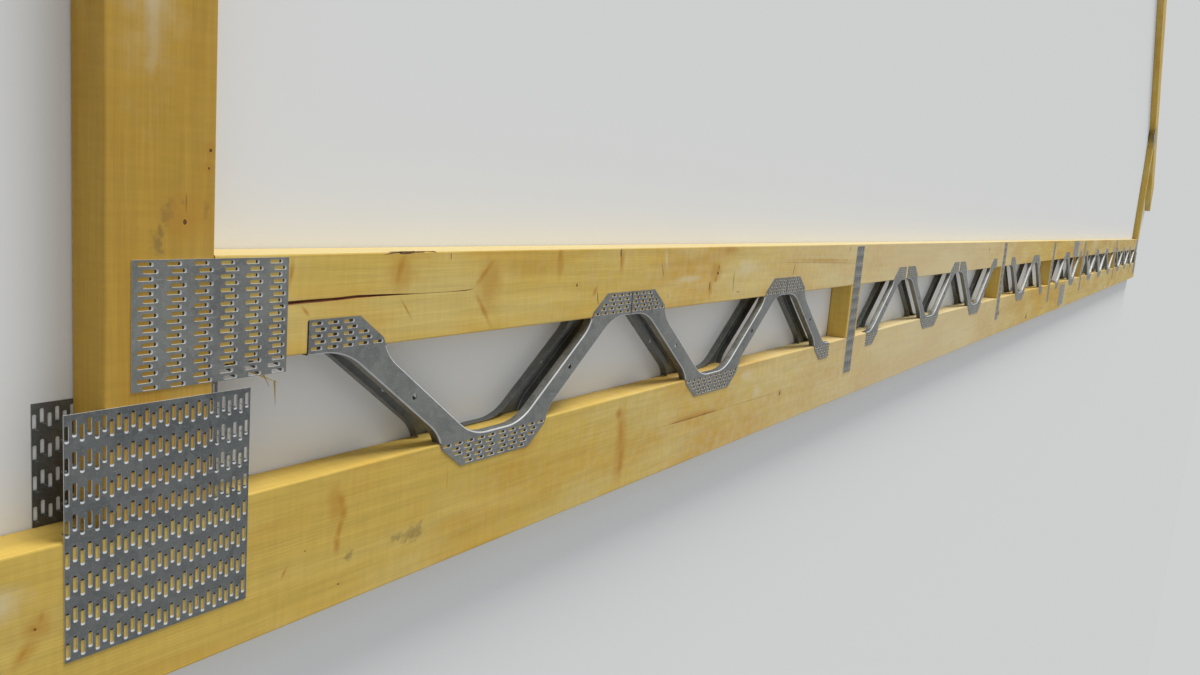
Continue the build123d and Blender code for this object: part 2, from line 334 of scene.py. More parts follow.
@dataclass(frozen=True)
class SoftwoodFinish:
    """Sawn spruce with growth rings about a pith line, knots, resin and stains.

    The wanders are the noises that bend the rings: scale, detail, shift and reach.
    """

    early: tuple = shade(207, 176, 86)
    late: tuple = shade(182, 143, 56)
    warm: tuple = shade(197, 150, 47)
    pale: tuple = shade(214, 193, 122)
    knot_rim: tuple = shade(70, 38, 16)
    # Colour and step of the painted light on faces that look up the truss.
    painted_top_light_colour: tuple = shade(202, 186, 136)
    warm_patches: Cloud = Cloud((2.6, 13, 13), 5, 0.4, 0.66, 0, 0.65, 7)
    pale_patches: Cloud = Cloud((4.1, 12, 12), 5, 0.44, 0.7, 0, 0.6, 11)
    fibre: Cloud = Cloud((14, 900, 900), 3, 0.28, 0.72, 0.94, 1.045)
    grain: Cloud = Cloud((5, 110, 110), 3, 0.28, 0.72, 0.93, 1.05, 23)
    saw_marks: Cloud = Cloud((190, 26, 26), 2, 0.28, 0.72, 0.965, 1.03, 2)
    ring_strength: Cloud = Cloud((1.3, 9, 9), 2, 0.42, 0.78, 0.02, 0.33, 5)
    wanders: tuple = (((0.9, 5, 5), 3, 0, 50 * MM), ((9, 40, 40), 2, 3, 2.6 * MM))
    ring_pitch: float = 2.7 * MM
    ring_band: tuple = (0.30, 0.86, 0.90, 1.0)
    knot_swell: tuple = (0.6, 7.0, 14 * MM, 0)
    knot_rings: tuple = (1.5, 9.0, 0.5, 0)
    rim_band: tuple = (0.62, 0.85, 0.95, 1.12)
    rim_strength: float = 0.8
    painted_top_light_step: tuple = (0.6, 0.9, 0, 0.8)
    end_step: tuple = (0.35, 0.5, 1.0, 0.78)
    roughness: tuple = (0.66, 0.52)
    specular: float = 0.3
    fibre_height: float = 0.5
    ring_height: float = -0.6
    bump: tuple = (0.35, 0.4 * MM)

    def nearest_mark(self, graph: Graph, place: object, marks: Sequence[tuple]) -> bpy.types.NodeSocket:
        """Distance to the nearest mark, as a share of that mark's own half sizes.

        Args:
            graph: Material under construction.
            place: Socket with the place in the member.
            marks: Each mark's middle, half sizes and turn in the member.

        Returns:
            The distance: 1 on the edge of a mark.
        """
        nearest = None
        for middle, half_sizes, turn in marks:
            inputs = {"Vector": graph.vector("SUBTRACT", place, middle), "Angle": -turn}
            turned = graph.node("VectorRotate", inputs, rotation_type="Z_AXIS").outputs[0]
            scaled = graph.vector("MULTIPLY", turned, (1 / half_sizes[0], 1 / half_sizes[1], 0))
            distance = graph.vector("LENGTH", scaled)
            nearest = distance if nearest is None else graph.math("MINIMUM", nearest, distance)
        return nearest

    def late_wood(self, graph: Graph, place: object, member: "Member", flow: object) -> bpy.types.NodeSocket:
        """Late wood of the growth rings.

        Args:
            graph: Material under construction.
            place: Socket with the place in the member.
            member: The timber.
            flow: How far the rings swell round a knot, in metres, or None.

        Returns:
            0 in the pale early wood, up to 1 in the dark late wood.
        """
        across, depth, tilt = member.pith
        from_pith = graph.vector("SUBTRACT", place, (0, across, depth))
        parts = graph.node("SeparateXYZ", {0: graph.vector("MULTIPLY", from_pith, (tilt, 1, 1))})
        sideways = graph.math("ADD", parts.outputs[1], parts.outputs[0])
        flat = graph.node("CombineXYZ", {1: sideways, 2: parts.outputs[2]}).outputs[0]
        radius = graph.vector("LENGTH", flat)
        for scale, detail, shift, reach in self.wanders:
            bend = graph.noise(place, scale, detail, member.seed + shift)
            radius = graph.math("MULTIPLY_ADD", bend, reach, radius)
        if flow is not None:
            radius = graph.math("ADD", radius, flow)
        return graph.band(graph.math("FRACT", graph.math("DIVIDE", radius, self.ring_pitch)), self.ring_band)

    def clear_wood(self, graph: Graph, place: object, member: "Member", late: object) -> bpy.types.NodeSocket:
        """Colour of the wood without its blemishes.

        Args:
            graph: Material under construction.
            place: Socket with the place in the member.
            member: The timber.
            late: Late wood, from 0 to 1.

        Returns:
            The colour.
        """
        colour = graph.mix(late, self.early, self.late)
        for tone, patches in ((self.warm, self.warm_patches), (self.pale, self.pale_patches)):
            colour = graph.mix(graph.cloud(place, patches, member.seed), colour, tone)
        for cloud in (self.fibre, self.grain, self.saw_marks):
            colour = graph.scaled(colour, graph.cloud(place, cloud, member.seed))
        return graph.mix(1.0, colour, (*member.tone, 1), "MULTIPLY")

    def marked_wood(
        self, graph: Graph, place: object, member: "Member", colour: object
    ) -> bpy.types.NodeSocket:
        """Lays the member's blemishes over its clear wood.

        Args:
            graph: Material under construction.
            place: Socket with the place in the member.
            member: The timber.
            colour: Colour of its clear wood.

        Returns:
            The colour.
        """
        for number, (kind, look) in enumerate(LOOKS.items()):
            marks = member.local_marks(kind)
            if not marks:
                continue
            rough = graph.noise(place, (look.grain,) * 3, look.detail, member.seed + number)
            ragged = graph.math("MULTIPLY_ADD", rough, look.ragged, -look.ragged / 2)
            distance = graph.math("ADD", self.nearest_mark(graph, place, marks), ragged)
            share = graph.ramp(distance, look.core, look.edge, look.strength, 0)
            colour = graph.mix(share, colour, look.colour)
            if kind == Blemish.KNOT:
                rim = graph.math("MULTIPLY", graph.band(distance, self.rim_band), self.rim_strength)
                colour = graph.mix(rim, colour, self.knot_rim)
        return colour

    def material(self, member: "Member") -> bpy.types.Material:
        """The finish of one timber.

        Args:
            member: The timber, with its place, direction and marks.

        Returns:
            Its material.
        """
        graph = Graph(f"softwood_{member.node}")
        coordinates = graph.node("TexCoord")
        inputs = {
            "Vector": coordinates.outputs["Object"],
            "Rotation": (0, 0, -member.angle),
            "Location": -(Matrix.Rotation(-member.angle, 3, "Z") @ member.middle),
        }
        place = graph.node("Mapping", inputs).outputs[0]

        strength = graph.cloud(place, self.ring_strength, member.seed)
        flow = None
        knots = member.local_marks(Blemish.KNOT)
        if knots:
            to_knot = self.nearest_mark(graph, place, knots)
            flow = graph.ramp(to_knot, *self.knot_swell)
            strength = graph.math("MAXIMUM", strength, graph.ramp(to_knot, *self.knot_rings))
        late = graph.math("MULTIPLY", self.late_wood(graph, place, member, flow), strength)
        colour = self.marked_wood(graph, place, member, self.clear_wood(graph, place, member, late))
        normal = coordinates.outputs["Normal"]
        # Painted light: faces that look up the truss are mixed towards a paler colour, as if lit strongly
        # from above.
        if member.painted_top_light:
            rise = graph.vector("DOT_PRODUCT", normal, (0, 1, 0))
            colour = graph.mix(graph.ramp(rise, *self.painted_top_light_step), colour, self.painted_top_light_colour)
        facing = graph.math("ABSOLUTE", graph.vector("DOT_PRODUCT", normal, member.axis()))
        colour = graph.scaled(colour, graph.ramp(facing, *self.end_step))
        graph.put(graph.shader.inputs["Base Color"], colour)
        graph.put(graph.shader.inputs["Roughness"], graph.ramp(late, 0, 1, *self.roughness))
        graph.put(graph.shader.inputs["Specular IOR Level"], self.specular)
        fibre = graph.pattern(place, self.fibre, member.seed)
        rings = graph.math("MULTIPLY", late, self.ring_height)
        graph.bump(graph.math("MULTIPLY_ADD", fibre, self.fibre_height, rings), *self.bump)
        return graph.material


@dataclass(frozen=True)
class GalvanisedFinish:
    """Zinc coated strip with a faint spangle, rolled scuffs and a dull bloom."""

    name: str
    tone: tuple = shade(130, 132, 128)
    dull: tuple = shade(110, 112, 111)
    bright: tuple = shade(160, 162, 160)
    metallic: float = 0.8
    roughness: float = 0.34
    bloom_roughness: float = 0.16
    spangle_roughness: float = 0.06
    spangle_scale: float = 130.0
    spangle_step: tuple = (0, 1, 0, 0.25)
    bloom: Cloud = Cloud((14, 14, 14), 4, 0.3, 0.7)
    flecks: Cloud = Cloud((520, 520, 520), 3, 0.5, 0.75, 0, 0.4, 4.1)
    scuffs: Cloud = Cloud((40, 260, 40), 4, 0.6, 0.78, 0, 0.55, 2.3)
    spangle_height: float = 0.3
    bump: tuple = (0.12, 0.3 * MM)

    def material(self) -> bpy.types.Material:
        """The material of the pressings.

        Returns:
            The material.
        """
        graph = Graph(self.name)
        place = graph.node("TexCoord").outputs["Object"]
        cells = graph.node("TexVoronoi", {"Vector": place, "Scale": self.spangle_scale}, feature="F1")
        spangle = graph.node("SeparateColor", {0: cells.outputs["Color"]}).outputs[0]
        bloom = graph.pattern(place, self.bloom)
        scuff = graph.pattern(place, self.scuffs)
        colour = graph.mix(graph.stepped(bloom, self.bloom), self.dull, self.tone)
        for share in (
            graph.ramp(spangle, *self.spangle_step),
            graph.cloud(place, self.flecks),
            graph.stepped(scuff, self.scuffs),
        ):
            colour = graph.mix(share, colour, self.bright)
        graph.put(graph.shader.inputs["Base Color"], colour)
        graph.put(graph.shader.inputs["Metallic"], self.metallic)
        rough = graph.math("MULTIPLY_ADD", bloom, self.bloom_roughness, self.roughness)
        rough = graph.math("MULTIPLY_ADD", spangle, self.spangle_roughness, rough)
        graph.put(graph.shader.inputs["Roughness"], rough)
        graph.bump(graph.math("MULTIPLY_ADD", spangle, self.spangle_height, scuff), *self.bump)
        return graph.material


@dataclass(frozen=True)
class DarkFinish:
    """Wood in deep shadow, such as torn fibre in a split or the pit beside a driven tooth."""

    name: str
    light: tuple
    dark: tuple
    fibres: Cloud = Cloud((30, 700, 700), 4, 0.35, 0.65)
    roughness: float = 0.9
    bump: tuple = (0.6, 0.8 * MM)

    def material(self) -> bpy.types.Material:
        """A rough material that varies between its two tones.

        Returns:
            The material.
        """
        graph = Graph(self.name)
        torn = graph.pattern(graph.node("TexCoord").outputs["Object"], self.fibres)
        colour = graph.mix(graph.stepped(torn, self.fibres), self.dark, self.light)
        graph.put(graph.shader.inputs["Base Color"], colour)
        graph.put(graph.shader.inputs["Roughness"], self.roughness)
        graph.bump(torn, *self.bump)
        return graph.material


def finished_mesh(name: str, shape: bmesh.types.BMesh, *materials: bpy.types.Material) -> bpy.types.Object:
    """Makes an object of a finished bmesh.

    Args:
        name: Name of the object.
        shape: The mesh, which is used up.
        materials: Its materials, in slot order.

    Returns:
        The object, in the scene.
    """
    mesh = bpy.data.meshes.new(name)
    shape.to_mesh(mesh)
    shape.free()
    for material in materials:
        mesh.materials.append(material)
    piece = bpy.data.objects.new(name, mesh)
    bpy.context.scene.collection.objects.link(piece)
    return piece


def add_to(shape: bmesh.types.BMesh, part: bmesh.types.BMesh, place: Matrix) -> None:
    """Moves a part to its place and adds it to a larger shape.

    Args:
        shape: The larger shape.
        part: The part, which is used up.
        place: Where it goes, which may mirror it.
    """
    bmesh.ops.transform(part, matrix=place, verts=part.verts)
    if place.determinant() < 0:
        bmesh.ops.reverse_faces(part, faces=part.faces)
    mesh = bpy.data.meshes.new("part")
    part.to_mesh(mesh)
    part.free()
    shape.from_mesh(mesh)
    bpy.data.meshes.remove(mesh)


def hand_over(piece: bpy.types.Object, slot: Slot, *nodes: str) -> None:
    """Puts a piece on the truss in place of solids of the model.

    Args:
        piece: The finished piece.
        slot: Material slot of the stored part that it belongs with. Not used.
        nodes: The solids that it stands for.
    """
    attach(piece, "root")
    if nodes:
        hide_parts(*nodes)
    log.info("%s: %d faces", piece.name, len(piece.data.polygons))


def node_shape(node: str) -> bmesh.types.BMesh:
    """A solid of the model as a clean mesh with whole flat faces.

    Args:
        node: Name of the solid.

    Returns:
        A mesh of its own.
    """
    shape = bmesh.new()
    shape.from_mesh(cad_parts[node].data)
    bmesh.ops.remove_doubles(shape, verts=shape.verts, dist=MERGE_REACH)
    bmesh.ops.dissolve_limit(shape, angle_limit=FLAT_ANGLE, verts=shape.verts, edges=shape.edges)
    return shape


def islands(shape: bmesh.types.BMesh) -> list[list[bmesh.types.BMVert]]:
    """Groups of vertices that hang together.

    Args:
        shape: A mesh with one or more solids.

    Returns:
        Each solid's vertices, in order along the span.
    """
    left = set(shape.verts)
    groups = []
    while left:
        queue = [left.pop()]
        group = []
        while queue:
            vertex = queue.pop()
            group.append(vertex)
            for edge in vertex.link_edges:
                other = edge.other_vert(vertex)
                if other in left:
                    left.remove(other)
                    queue.append(other)
        groups.append(group)
    return sorted(groups, key=lambda found: min(vertex.co.x for vertex in found))


def turned_box(points: Iterable[Vector], turn: float) -> tuple[Vector, Vector]:
    """The box round some points, with its sides along and across a direction.

    Args:
        points: The points.
        turn: Angle of the direction from X.

    Returns:
        The box's middle, and its size along its own sides.
    """
    back = Matrix.Rotation(-turn, 3, "Z")
    turned = [back @ point for point in points]
    low = Vector([min(point[n] for point in turned) for n in range(3)])
    high = Vector([max(point[n] for point in turned) for n in range(3)])
    return back.inverted() @ ((low + high) / 2), high - low


@dataclass
class Member:
    """One sawn timber, with what shows on its front face."""

    KNOT_SPACING = 750 * MM
    KNOT_CLEARANCE = 180 * MM
    KNOT_END = 100 * MM
    KNOT_SPREAD = 0.8
    KNOT_SIZES = (2, 3, 4, 5, 7, 9)
    KNOT_STRETCH = 1.5
    KNOT_LEAN = 8
    PLACED_BY_HAND = (3000, 800)

    node: str
    seed: float
    marks: Sequence[Mark] = ()
    tone: tuple = (1, 1, 1)
    pith: tuple = (0.03, -0.06, 0.012)
    arris: float = 1.8 * MM
    # Whether faces that look up the truss get painted light.
    painted_top_light: bool = False
    angle: float = field(init=False, default=0)
    middle: Vector = field(init=False, default=None)
    half_length: float = field(init=False, default=0)
    half_width: float = field(init=False, default=0)

    def axis(self) -> Vector:
        """The direction that the member runs in."""
        return Vector((math.cos(self.angle), math.sin(self.angle), 0))

    def measure(self, shape: bmesh.types.BMesh) -> None:
        """Finds the member's direction, middle and size from its solid.

        Args:
            shape: The solid.
        """
        longest = max(shape.edges, key=lambda edge: edge.calc_length())
        run = longest.verts[1].co - longest.verts[0].co
        if run.x < 0 or (abs(run.x) < MM and run.y < 0):
            run = -run
        self.angle = math.atan2(run.y, run.x)
        self.middle, size = turned_box([vertex.co for vertex in shape.verts], self.angle)
        self.half_length, self.half_width = size.x / 2, size.y / 2

    def local_marks(self, kind: Blemish) -> list[tuple]:
        """Marks of one kind, set out in the member's own directions.

        Args:
            kind: The kind.

        Returns:
            Each mark's middle, half sizes and turn, in metres and radians.
        """
        turn = Matrix.Rotation(-self.angle, 3, "Z")
        found = []
        for mark in self.marks:
            if mark.kind == kind:
                place = turn @ (setting_out(mark.along, mark.up) - self.middle)
                half_sizes = (mark.half_long * MM, mark.half_wide * MM)
                found.append(((place.x, place.y, 0), half_sizes, math.radians(mark.turn) - self.angle))
        return found

    def scatter_knots(self, generator: random.Random) -> None:
        """Gives the member small knots along its length, past the stretch whose marks are listed.

        Args:
            generator: Source of their places, sizes and turns.
        """
        along = self.axis()
        across = Vector((-along.y, along.x, 0))
        reach = self.half_length - self.KNOT_END
        marks = list(self.marks)
        placed = []
        for _ in range(int(self.half_length * 2 / self.KNOT_SPACING)):
            spot = self.middle + along * generator.uniform(-reach, reach)
            spot = spot + across * generator.uniform(-self.KNOT_SPREAD, self.KNOT_SPREAD) * self.half_width
            size = generator.choice(self.KNOT_SIZES)
            offset = (spot - CORNER) / MM
            clear = all((spot - other).xy.length > self.KNOT_CLEARANCE for other in placed)
            if clear and (offset.x > self.PLACED_BY_HAND[0] or offset.y > self.PLACED_BY_HAND[1]):
                lean = math.degrees(self.angle) + generator.uniform(-self.KNOT_LEAN, self.KNOT_LEAN)
                long = size * generator.uniform(1.0, self.KNOT_STRETCH)
                marks += knot(offset.x, offset.y, long, size, lean)
                placed.append(spot)
        self.marks = marks

    def build(self, finish: SoftwoodFinish, generator: random.Random) -> bpy.types.Object:
        """Makes the timber with eased arrises and its own finish.

        Args:
            finish: How the timber looks.
            generator: Source of the scattered knots.

        Returns:
            The finished piece.
        """
        shape = node_shape(self.node)
        self.measure(shape)
        self.scatter_knots(generator)
        axis = self.axis()
        runs = {edge: (edge.verts[1].co - edge.verts[0].co).normalized() for edge in shape.edges}
        arrises = [edge for edge, run in runs.items() if abs(run.dot(axis)) > PARALLEL]
        bmesh.ops.bevel(
            shape, geom=arrises, offset=self.arris, segments=2, profile=0.5, affect="EDGES", material=-1
        )
        return finished_mesh(f"timber_{self.node}", shape, finish.material(self))


@dataclass
class Split:
    """A drying split in a timber's front face, as places along it with half widths, in mm."""

    stations: Sequence[tuple[float, float, float]]
    depth: float = 3.5

    def cutter(self, material: bpy.types.Material) -> bpy.types.Object:
        """A wedge that is cut out of the timber.

        Args:
            material: Finish of the torn wood inside, darkened with painted shade.

        Returns:
            The wedge, proud of the face by a millimetre.
        """
        shape = bmesh.new()
        previous = None
        rings = []
        for along, up, half_width in self.stations:
            spot = setting_out(along, up)
            top = TIMBER_FRONT + MM
            corners = ((half_width, top), (-half_width, top), (0, TIMBER_FRONT - self.depth * MM))
            ring = [shape.verts.new((spot.x, spot.y + side * MM, z)) for side, z in corners]
            edges = [shape.edges.new((ring[n], ring[(n + 1) % len(ring)])) for n in range(len(ring))]
            if previous:
                bmesh.ops.bridge_loops(shape, edges=previous + edges)
            previous = edges
            rings.append(ring)
        for ring in (rings[0], rings[-1]):
            shape.faces.new(ring)
        bmesh.ops.recalc_face_normals(shape, faces=shape.faces)
        return finished_mesh("split_cutter", shape, material)


@dataclass
class Wane:
    """Torn bark along an arris: its middle and half sizes in mm."""

    along: float
    up: float
    half_sizes: tuple[float, float, float]
    seed: int
    swell: float = 0.32
    waves: float = 19
    rough: float = 0.2

    def cutter(self, material: bpy.types.Material) -> bpy.types.Object:
        """A ragged lump that is cut out of the arris.

        Args:
            material: Finish of the torn wood inside.

        Returns:
            The lump.
        """
        generator = random.Random(self.seed)
        shape = bmesh.new()
        bmesh.ops.create_icosphere(shape, subdivisions=4, radius=1.0)
        for vertex in shape.verts:
            swell = self.swell * math.sin(vertex.co.x * self.waves) * generator.uniform(self.rough, 1)
            vertex.co *= 1 + swell + generator.uniform(-self.rough, self.rough)
        spot = setting_out(self.along, self.up)
        bmesh.ops.scale(shape, vec=Vector(self.half_sizes) * MM, verts=shape.verts)
        bmesh.ops.translate(shape, vec=Vector((spot.x, spot.y, TIMBER_FRONT)), verts=shape.verts)
        return finished_mesh("wane_cutter", shape, material)


@dataclass
class Splinter:
    """A thin sliver that has come away from an edge, from its root to its tip, in mm."""

    root: tuple[float, float]
    tip: tuple[float, float]
    depth: float
    thickness: float
    point: float = 0.15
    sides: int = 5

    def build(self, number: int, material: bpy.types.Material) -> bpy.types.Object:
        """Makes the sliver.

        Args:
            number: Tells it from its like.
            material: Its finish.

        Returns:
            The piece.
        """
        root, tip = setting_out(*self.root), setting_out(*self.tip)
        run = tip - root
        lie = run.to_track_quat("Z", "Y").to_matrix().to_4x4()
        height = TIMBER_FRONT - self.depth * MM
        place = Matrix.Translation((root + tip) / 2 + Vector((0, 0, height))) @ lie
        shape = bmesh.new()
        ends = {"radius1": self.thickness * MM, "radius2": self.point * MM, "depth": run.length}
        bmesh.ops.create_cone(shape, cap_ends=True, segments=self.sides, matrix=place, **ends)
        return finished_mesh(f"splinter_{number}", shape, material)


def cut_out(piece: bpy.types.Object, cutter: bpy.types.Object) -> None:
    """Cuts one piece out of another and keeps the cutter's finish on the new faces.

    Args:
        piece: Piece that is cut, whose mesh is replaced.
        cutter: Closed shape that is taken away and removed.
    """
    piece.data.materials.append(cutter.data.materials[0])
    index = len(piece.data.materials) - 1
    cutter.data.materials.clear()
    for material in piece.data.materials:
        cutter.data.materials.append(material)
    for polygon in cutter.data.polygons:
        polygon.material_index = index
    modifier = piece.modifiers.new("cut", "BOOLEAN")
    modifier.operation = "DIFFERENCE"
    modifier.solver = "EXACT"
    modifier.object = cutter
    view = bpy.context.evaluated_depsgraph_get()
    mesh = bpy.data.meshes.new_from_object(piece.evaluated_get(view))
    piece.modifiers.clear()
    old = piece.data
    piece.data = mesh
    bpy.data.meshes.remove(old)
    bpy.data.objects.remove(cutter)


class TimberFrame:
    """All sawn members of the truss."""

    KNOT_SEED = 12

    def __init__(self, finish: SoftwoodFinish) -> None:
        """Lists the members and what shows on each of them.

        Args:
            finish: How the timber looks.
        """
        self.finish = finish
        low_marks, floor_marks = self.bottom_chord_marks(), self.floor_chord_marks()
        self.members = [
            Member("bottom_chord_left", 1.7, low_marks, (0.95, 0.94, 0.87), (0.055, -0.075, 0.01)),
            Member("bottom_chord_right", 9.2, tone=(0.95, 1.0, 1.35), pith=(-0.02, -0.05, 0.008)),
            Member("floor_chord_left", 4.1, floor_marks, pith=(-0.065, -0.05, -0.008), painted_top_light=True),
            Member("floor_chord_right", 2.9, (), (0.94, 0.98, 1.4), (0.02, -0.07, 0.006), painted_top_light=True),
            Member("knee_post_left", 6.4, self.knee_post_marks(), (0.77, 0.66, 0.43), (0.01, -0.12, 0.004)),
            Member("knee_post_right", 3.3, pith=(-0.02, -0.08, 0.006)),
            Member("rafter_lower_left", 8.1, pith=(0.07, -0.05, 0.007)),
            Member("rafter_lower_right", 5.6, tone=(0.97, 0.95, 0.9), pith=(-0.05, -0.06, 0.007)),
            Member("rafter_upper_left", 7.4, tone=(1.02, 1.02, 1.06), pith=(0.02, -0.07, 0.01)),
            Member("rafter_upper_right", 2.2, pith=(-0.08, -0.04, 0.01)),
            Member("ceiling_tie", 6.9, tone=(0.98, 0.96, 0.92), pith=(0.04, -0.06, 0.005)),
            Member("king_post", 4.8, pith=(-0.03, -0.07, 0.008)),
            Member("strut_left", 1.1, tone=(1.02, 1.03, 1.1), pith=(0.02, -0.06, 0.012)),
            Member("strut_right", 3.9, tone=(0.96, 0.93, 0.86), pith=(-0.04, -0.05, 0.012)),
        ]
        for number in range(1, 6):
            self.members.append(Member(f"floor_post_{number}", 10 + number * 1.3, pith=(0.05, -0.08, 0.02)))
        self.split = Split(
            (
                *((166, 323.5, 2.6), (200, 324.2, 2.4), (235, 324.6, 2.1), (262, 325.6, 2.1)),
                *((290, 325.4, 1.5), (320, 325.0, 0.9), (350, 324.4, 0.3), (395, 324.0, 0.25)),
                *((425, 324.4, 0.6), (438, 325.6, 0.25)),
            )
        )
        self.splinters = [
            Splinter((118, 272), (175, 246), 9, 1.3),
            Splinter((170, 249), (171.5, 225), 9.5, 1.0),
            Splinter((156, 257.5), (164, 244), 9, 0.8),
            Splinter((124, 271), (150, 264), 12, 0.8),
        ]
        self.wanes = [
            Wane(334, 371.5, (46, 3.6, 4.5), 5),
            Wane(292, 371.8, (12, 1.8, 2.6), 8),
            Wane(404, 371.8, (16, 1.6, 2.2), 11),
        ]

    @staticmethod
    def bottom_chord_marks() -> list[Mark]:
        """What shows on the left length of the bottom chord.

        Returns:
            Its marks.
        """
        table = {
            Blemish.KNOT: (
                (-54.8, 83, 1.1, 0.9), (249.6, 23.3, 1.1, 1.0), (204.7, 72.4, 0.8, 0.8),
            ),
            Blemish.HALO: (
                (-52, 84, 14, 12), (-62, 67, 8, 17, -38), (244, 110, 13, 26, 10), (411, 101, 1.2, 20),
                (1046, 79, 100, 4, -1.0), (800, 76, 20, 66), (560, 120, 30, 20),
            ),
            Blemish.RESIN: (
                (-50, 91, 3, 6, -12), (-56, 84, 3.5, 2.5), (-64, 66, 2.6, 8, -38),
                (250, 113, 5, 11, 22), (254, 100, 6.6, 9, -4), (249, 84, 5, 13, -18),
                (246, 68, 6, 12, 4), (179.7, 57, 1.6, 7, -28), (788, 122, 12, 12, -10),
                (798, 90, 8, 26, 6), (804, 42, 8, 32, -2),
            ),
            Blemish.PALE: (
                (-90, 110, 30, 16), (1240, 125, 40, 16), (1300, 84, 34, 20), (2600, 80, 1700, 400),
            ),
            Blemish.STAIN: (
                (357, 50, 20, 12, 8), (365, 51, 11, 14), (333, 52, 14, 5, 10), (263, 51, 7, 7),
                (977, 90, 0.8, 10, 4), (1058, 66, 0.9, 8, 8),
            ),
            Blemish.CRACK: (
                (1046, 76, 100, 1.2, -1.0), (1078, 75.6, 30, 1.7, -1.0), (1290, 72, 110, 0.3, -0.8),
            ),
        }
        return [*marks_of(table), *knot(1420, 66, 2.5, 4)]

    @staticmethod
    def floor_chord_marks() -> list[Mark]:
        """What shows on the left length of the floor's top chord.

        Returns:
            Its marks.
        """
        table = {
            Blemish.RESIN: (
                (178, 351, 3.5, 15, -8), (319, 352, 5, 20, -20), (457, 343, 4.2, 26, -48),
                (458, 300, 4.4, 31, 36), (196, 315, 2.4, 9, 45), (331, 308, 1.8, 17, 38),
                (697, 311, 5, 9, -30), (607, 362, 5, 9), (1077, 326, 7, 15, -10),
            ),
            Blemish.HALO: (
                (322, 348, 24, 24), (468, 330, 26, 36), (762, 350, 8, 22), (609, 352, 9, 24),
                (1068, 324, 26, 20), (1053, 300, 9, 18), (1118, 364, 34, 9), (1600, 336, 200, 5, -1.4),
            ),
            Blemish.CRACK: (
                (397, 364, 0.8, 4), (759, 352, 1.2, 12, 6), (705, 300, 1.0, 8, 16),
                (884, 334, 0.9, 10, 24), (1080, 334, 2.2, 3.5, 12), (1072, 314, 2.0, 4, -16),
                (1144, 305, 1.2, 15, 3), (1167, 287.5, 7, 0.8), (907, 293, 0.8, 3),
                (1610, 330.5, 190, 0.5, -1.4), (1757, 361, 1.6, 6, -20), (1425, 322, 1.6, 10, -14),
            ),
            Blemish.KNOT: (
                (757, 363, 1.6, 6, 4), (651, 321, 1.6, 2.2), (1078, 324, 3.2, 2.2),
                (1051, 303, 1.4, 7, 8),
            ),
            Blemish.PALE: (
                (893, 350, 5, 20, 12), (976, 318, 55, 7), (1195, 330, 60, 22), (2600, 330, 1700, 400),
            ),
        }
        return marks_of(table)

    @staticmethod
    def knee_post_marks() -> list[Mark]:
        """What shows on the left knee post, over its plates.

        Returns:
            Its marks.
        """
        table = {
            Blemish.CRACK: ((69.4, 412, 0.9, 8),),
            Blemish.PALE: (
                (38, 585, 10, 75), (36, 760, 42, 230),
            ),
            Blemish.STAIN: (
                (53, 405, 8, 14, -20), (44, 380, 6, 12, 10), (47, 389, 3, 9, 10), (46, 374, 3.5, 3),
                (54, 408, 3, 5, -24), (66, 414, 2, 3), (88, 409, 3, 8),
            ),
            Blemish.HALO: ((72, 400, 26, 26),),
        }
        knots = (*knot(68.4, 397.6, 1.6, 2.2), *knot(91.4, 457.7, 1.4, 1.5), *knot(90.0, 442.8, 0.9, 1.0))
        return [*marks_of(table), *knots]

    def build(self) -> None:
        """Makes every member, then the split and the torn arris of the floor's top chord."""
        generator = random.Random(self.KNOT_SEED)
        # The split's walls are torn fibre darkened with painted shade.
        torn = DarkFinish("torn_wood_and_shade", shade(164, 108, 60), shade(98, 58, 32)).material()
        bark = DarkFinish("torn_bark", shade(150, 112, 60), shade(48, 30, 18)).material()
        for member in self.members:
            piece = member.build(self.finish, generator)
            if member.node == "floor_chord_left":
                cut_out(piece, self.split.cutter(torn))
                for wane in self.wanes:
                    cut_out(piece, wane.cutter(bark))
                for number, splinter in enumerate(self.splinters, start=1):
                    sliver = splinter.build(number, piece.data.materials[0])
                    hand_over(sliver, Slot.WOOD)
            hand_over(piece, Slot.WOOD, member.node)


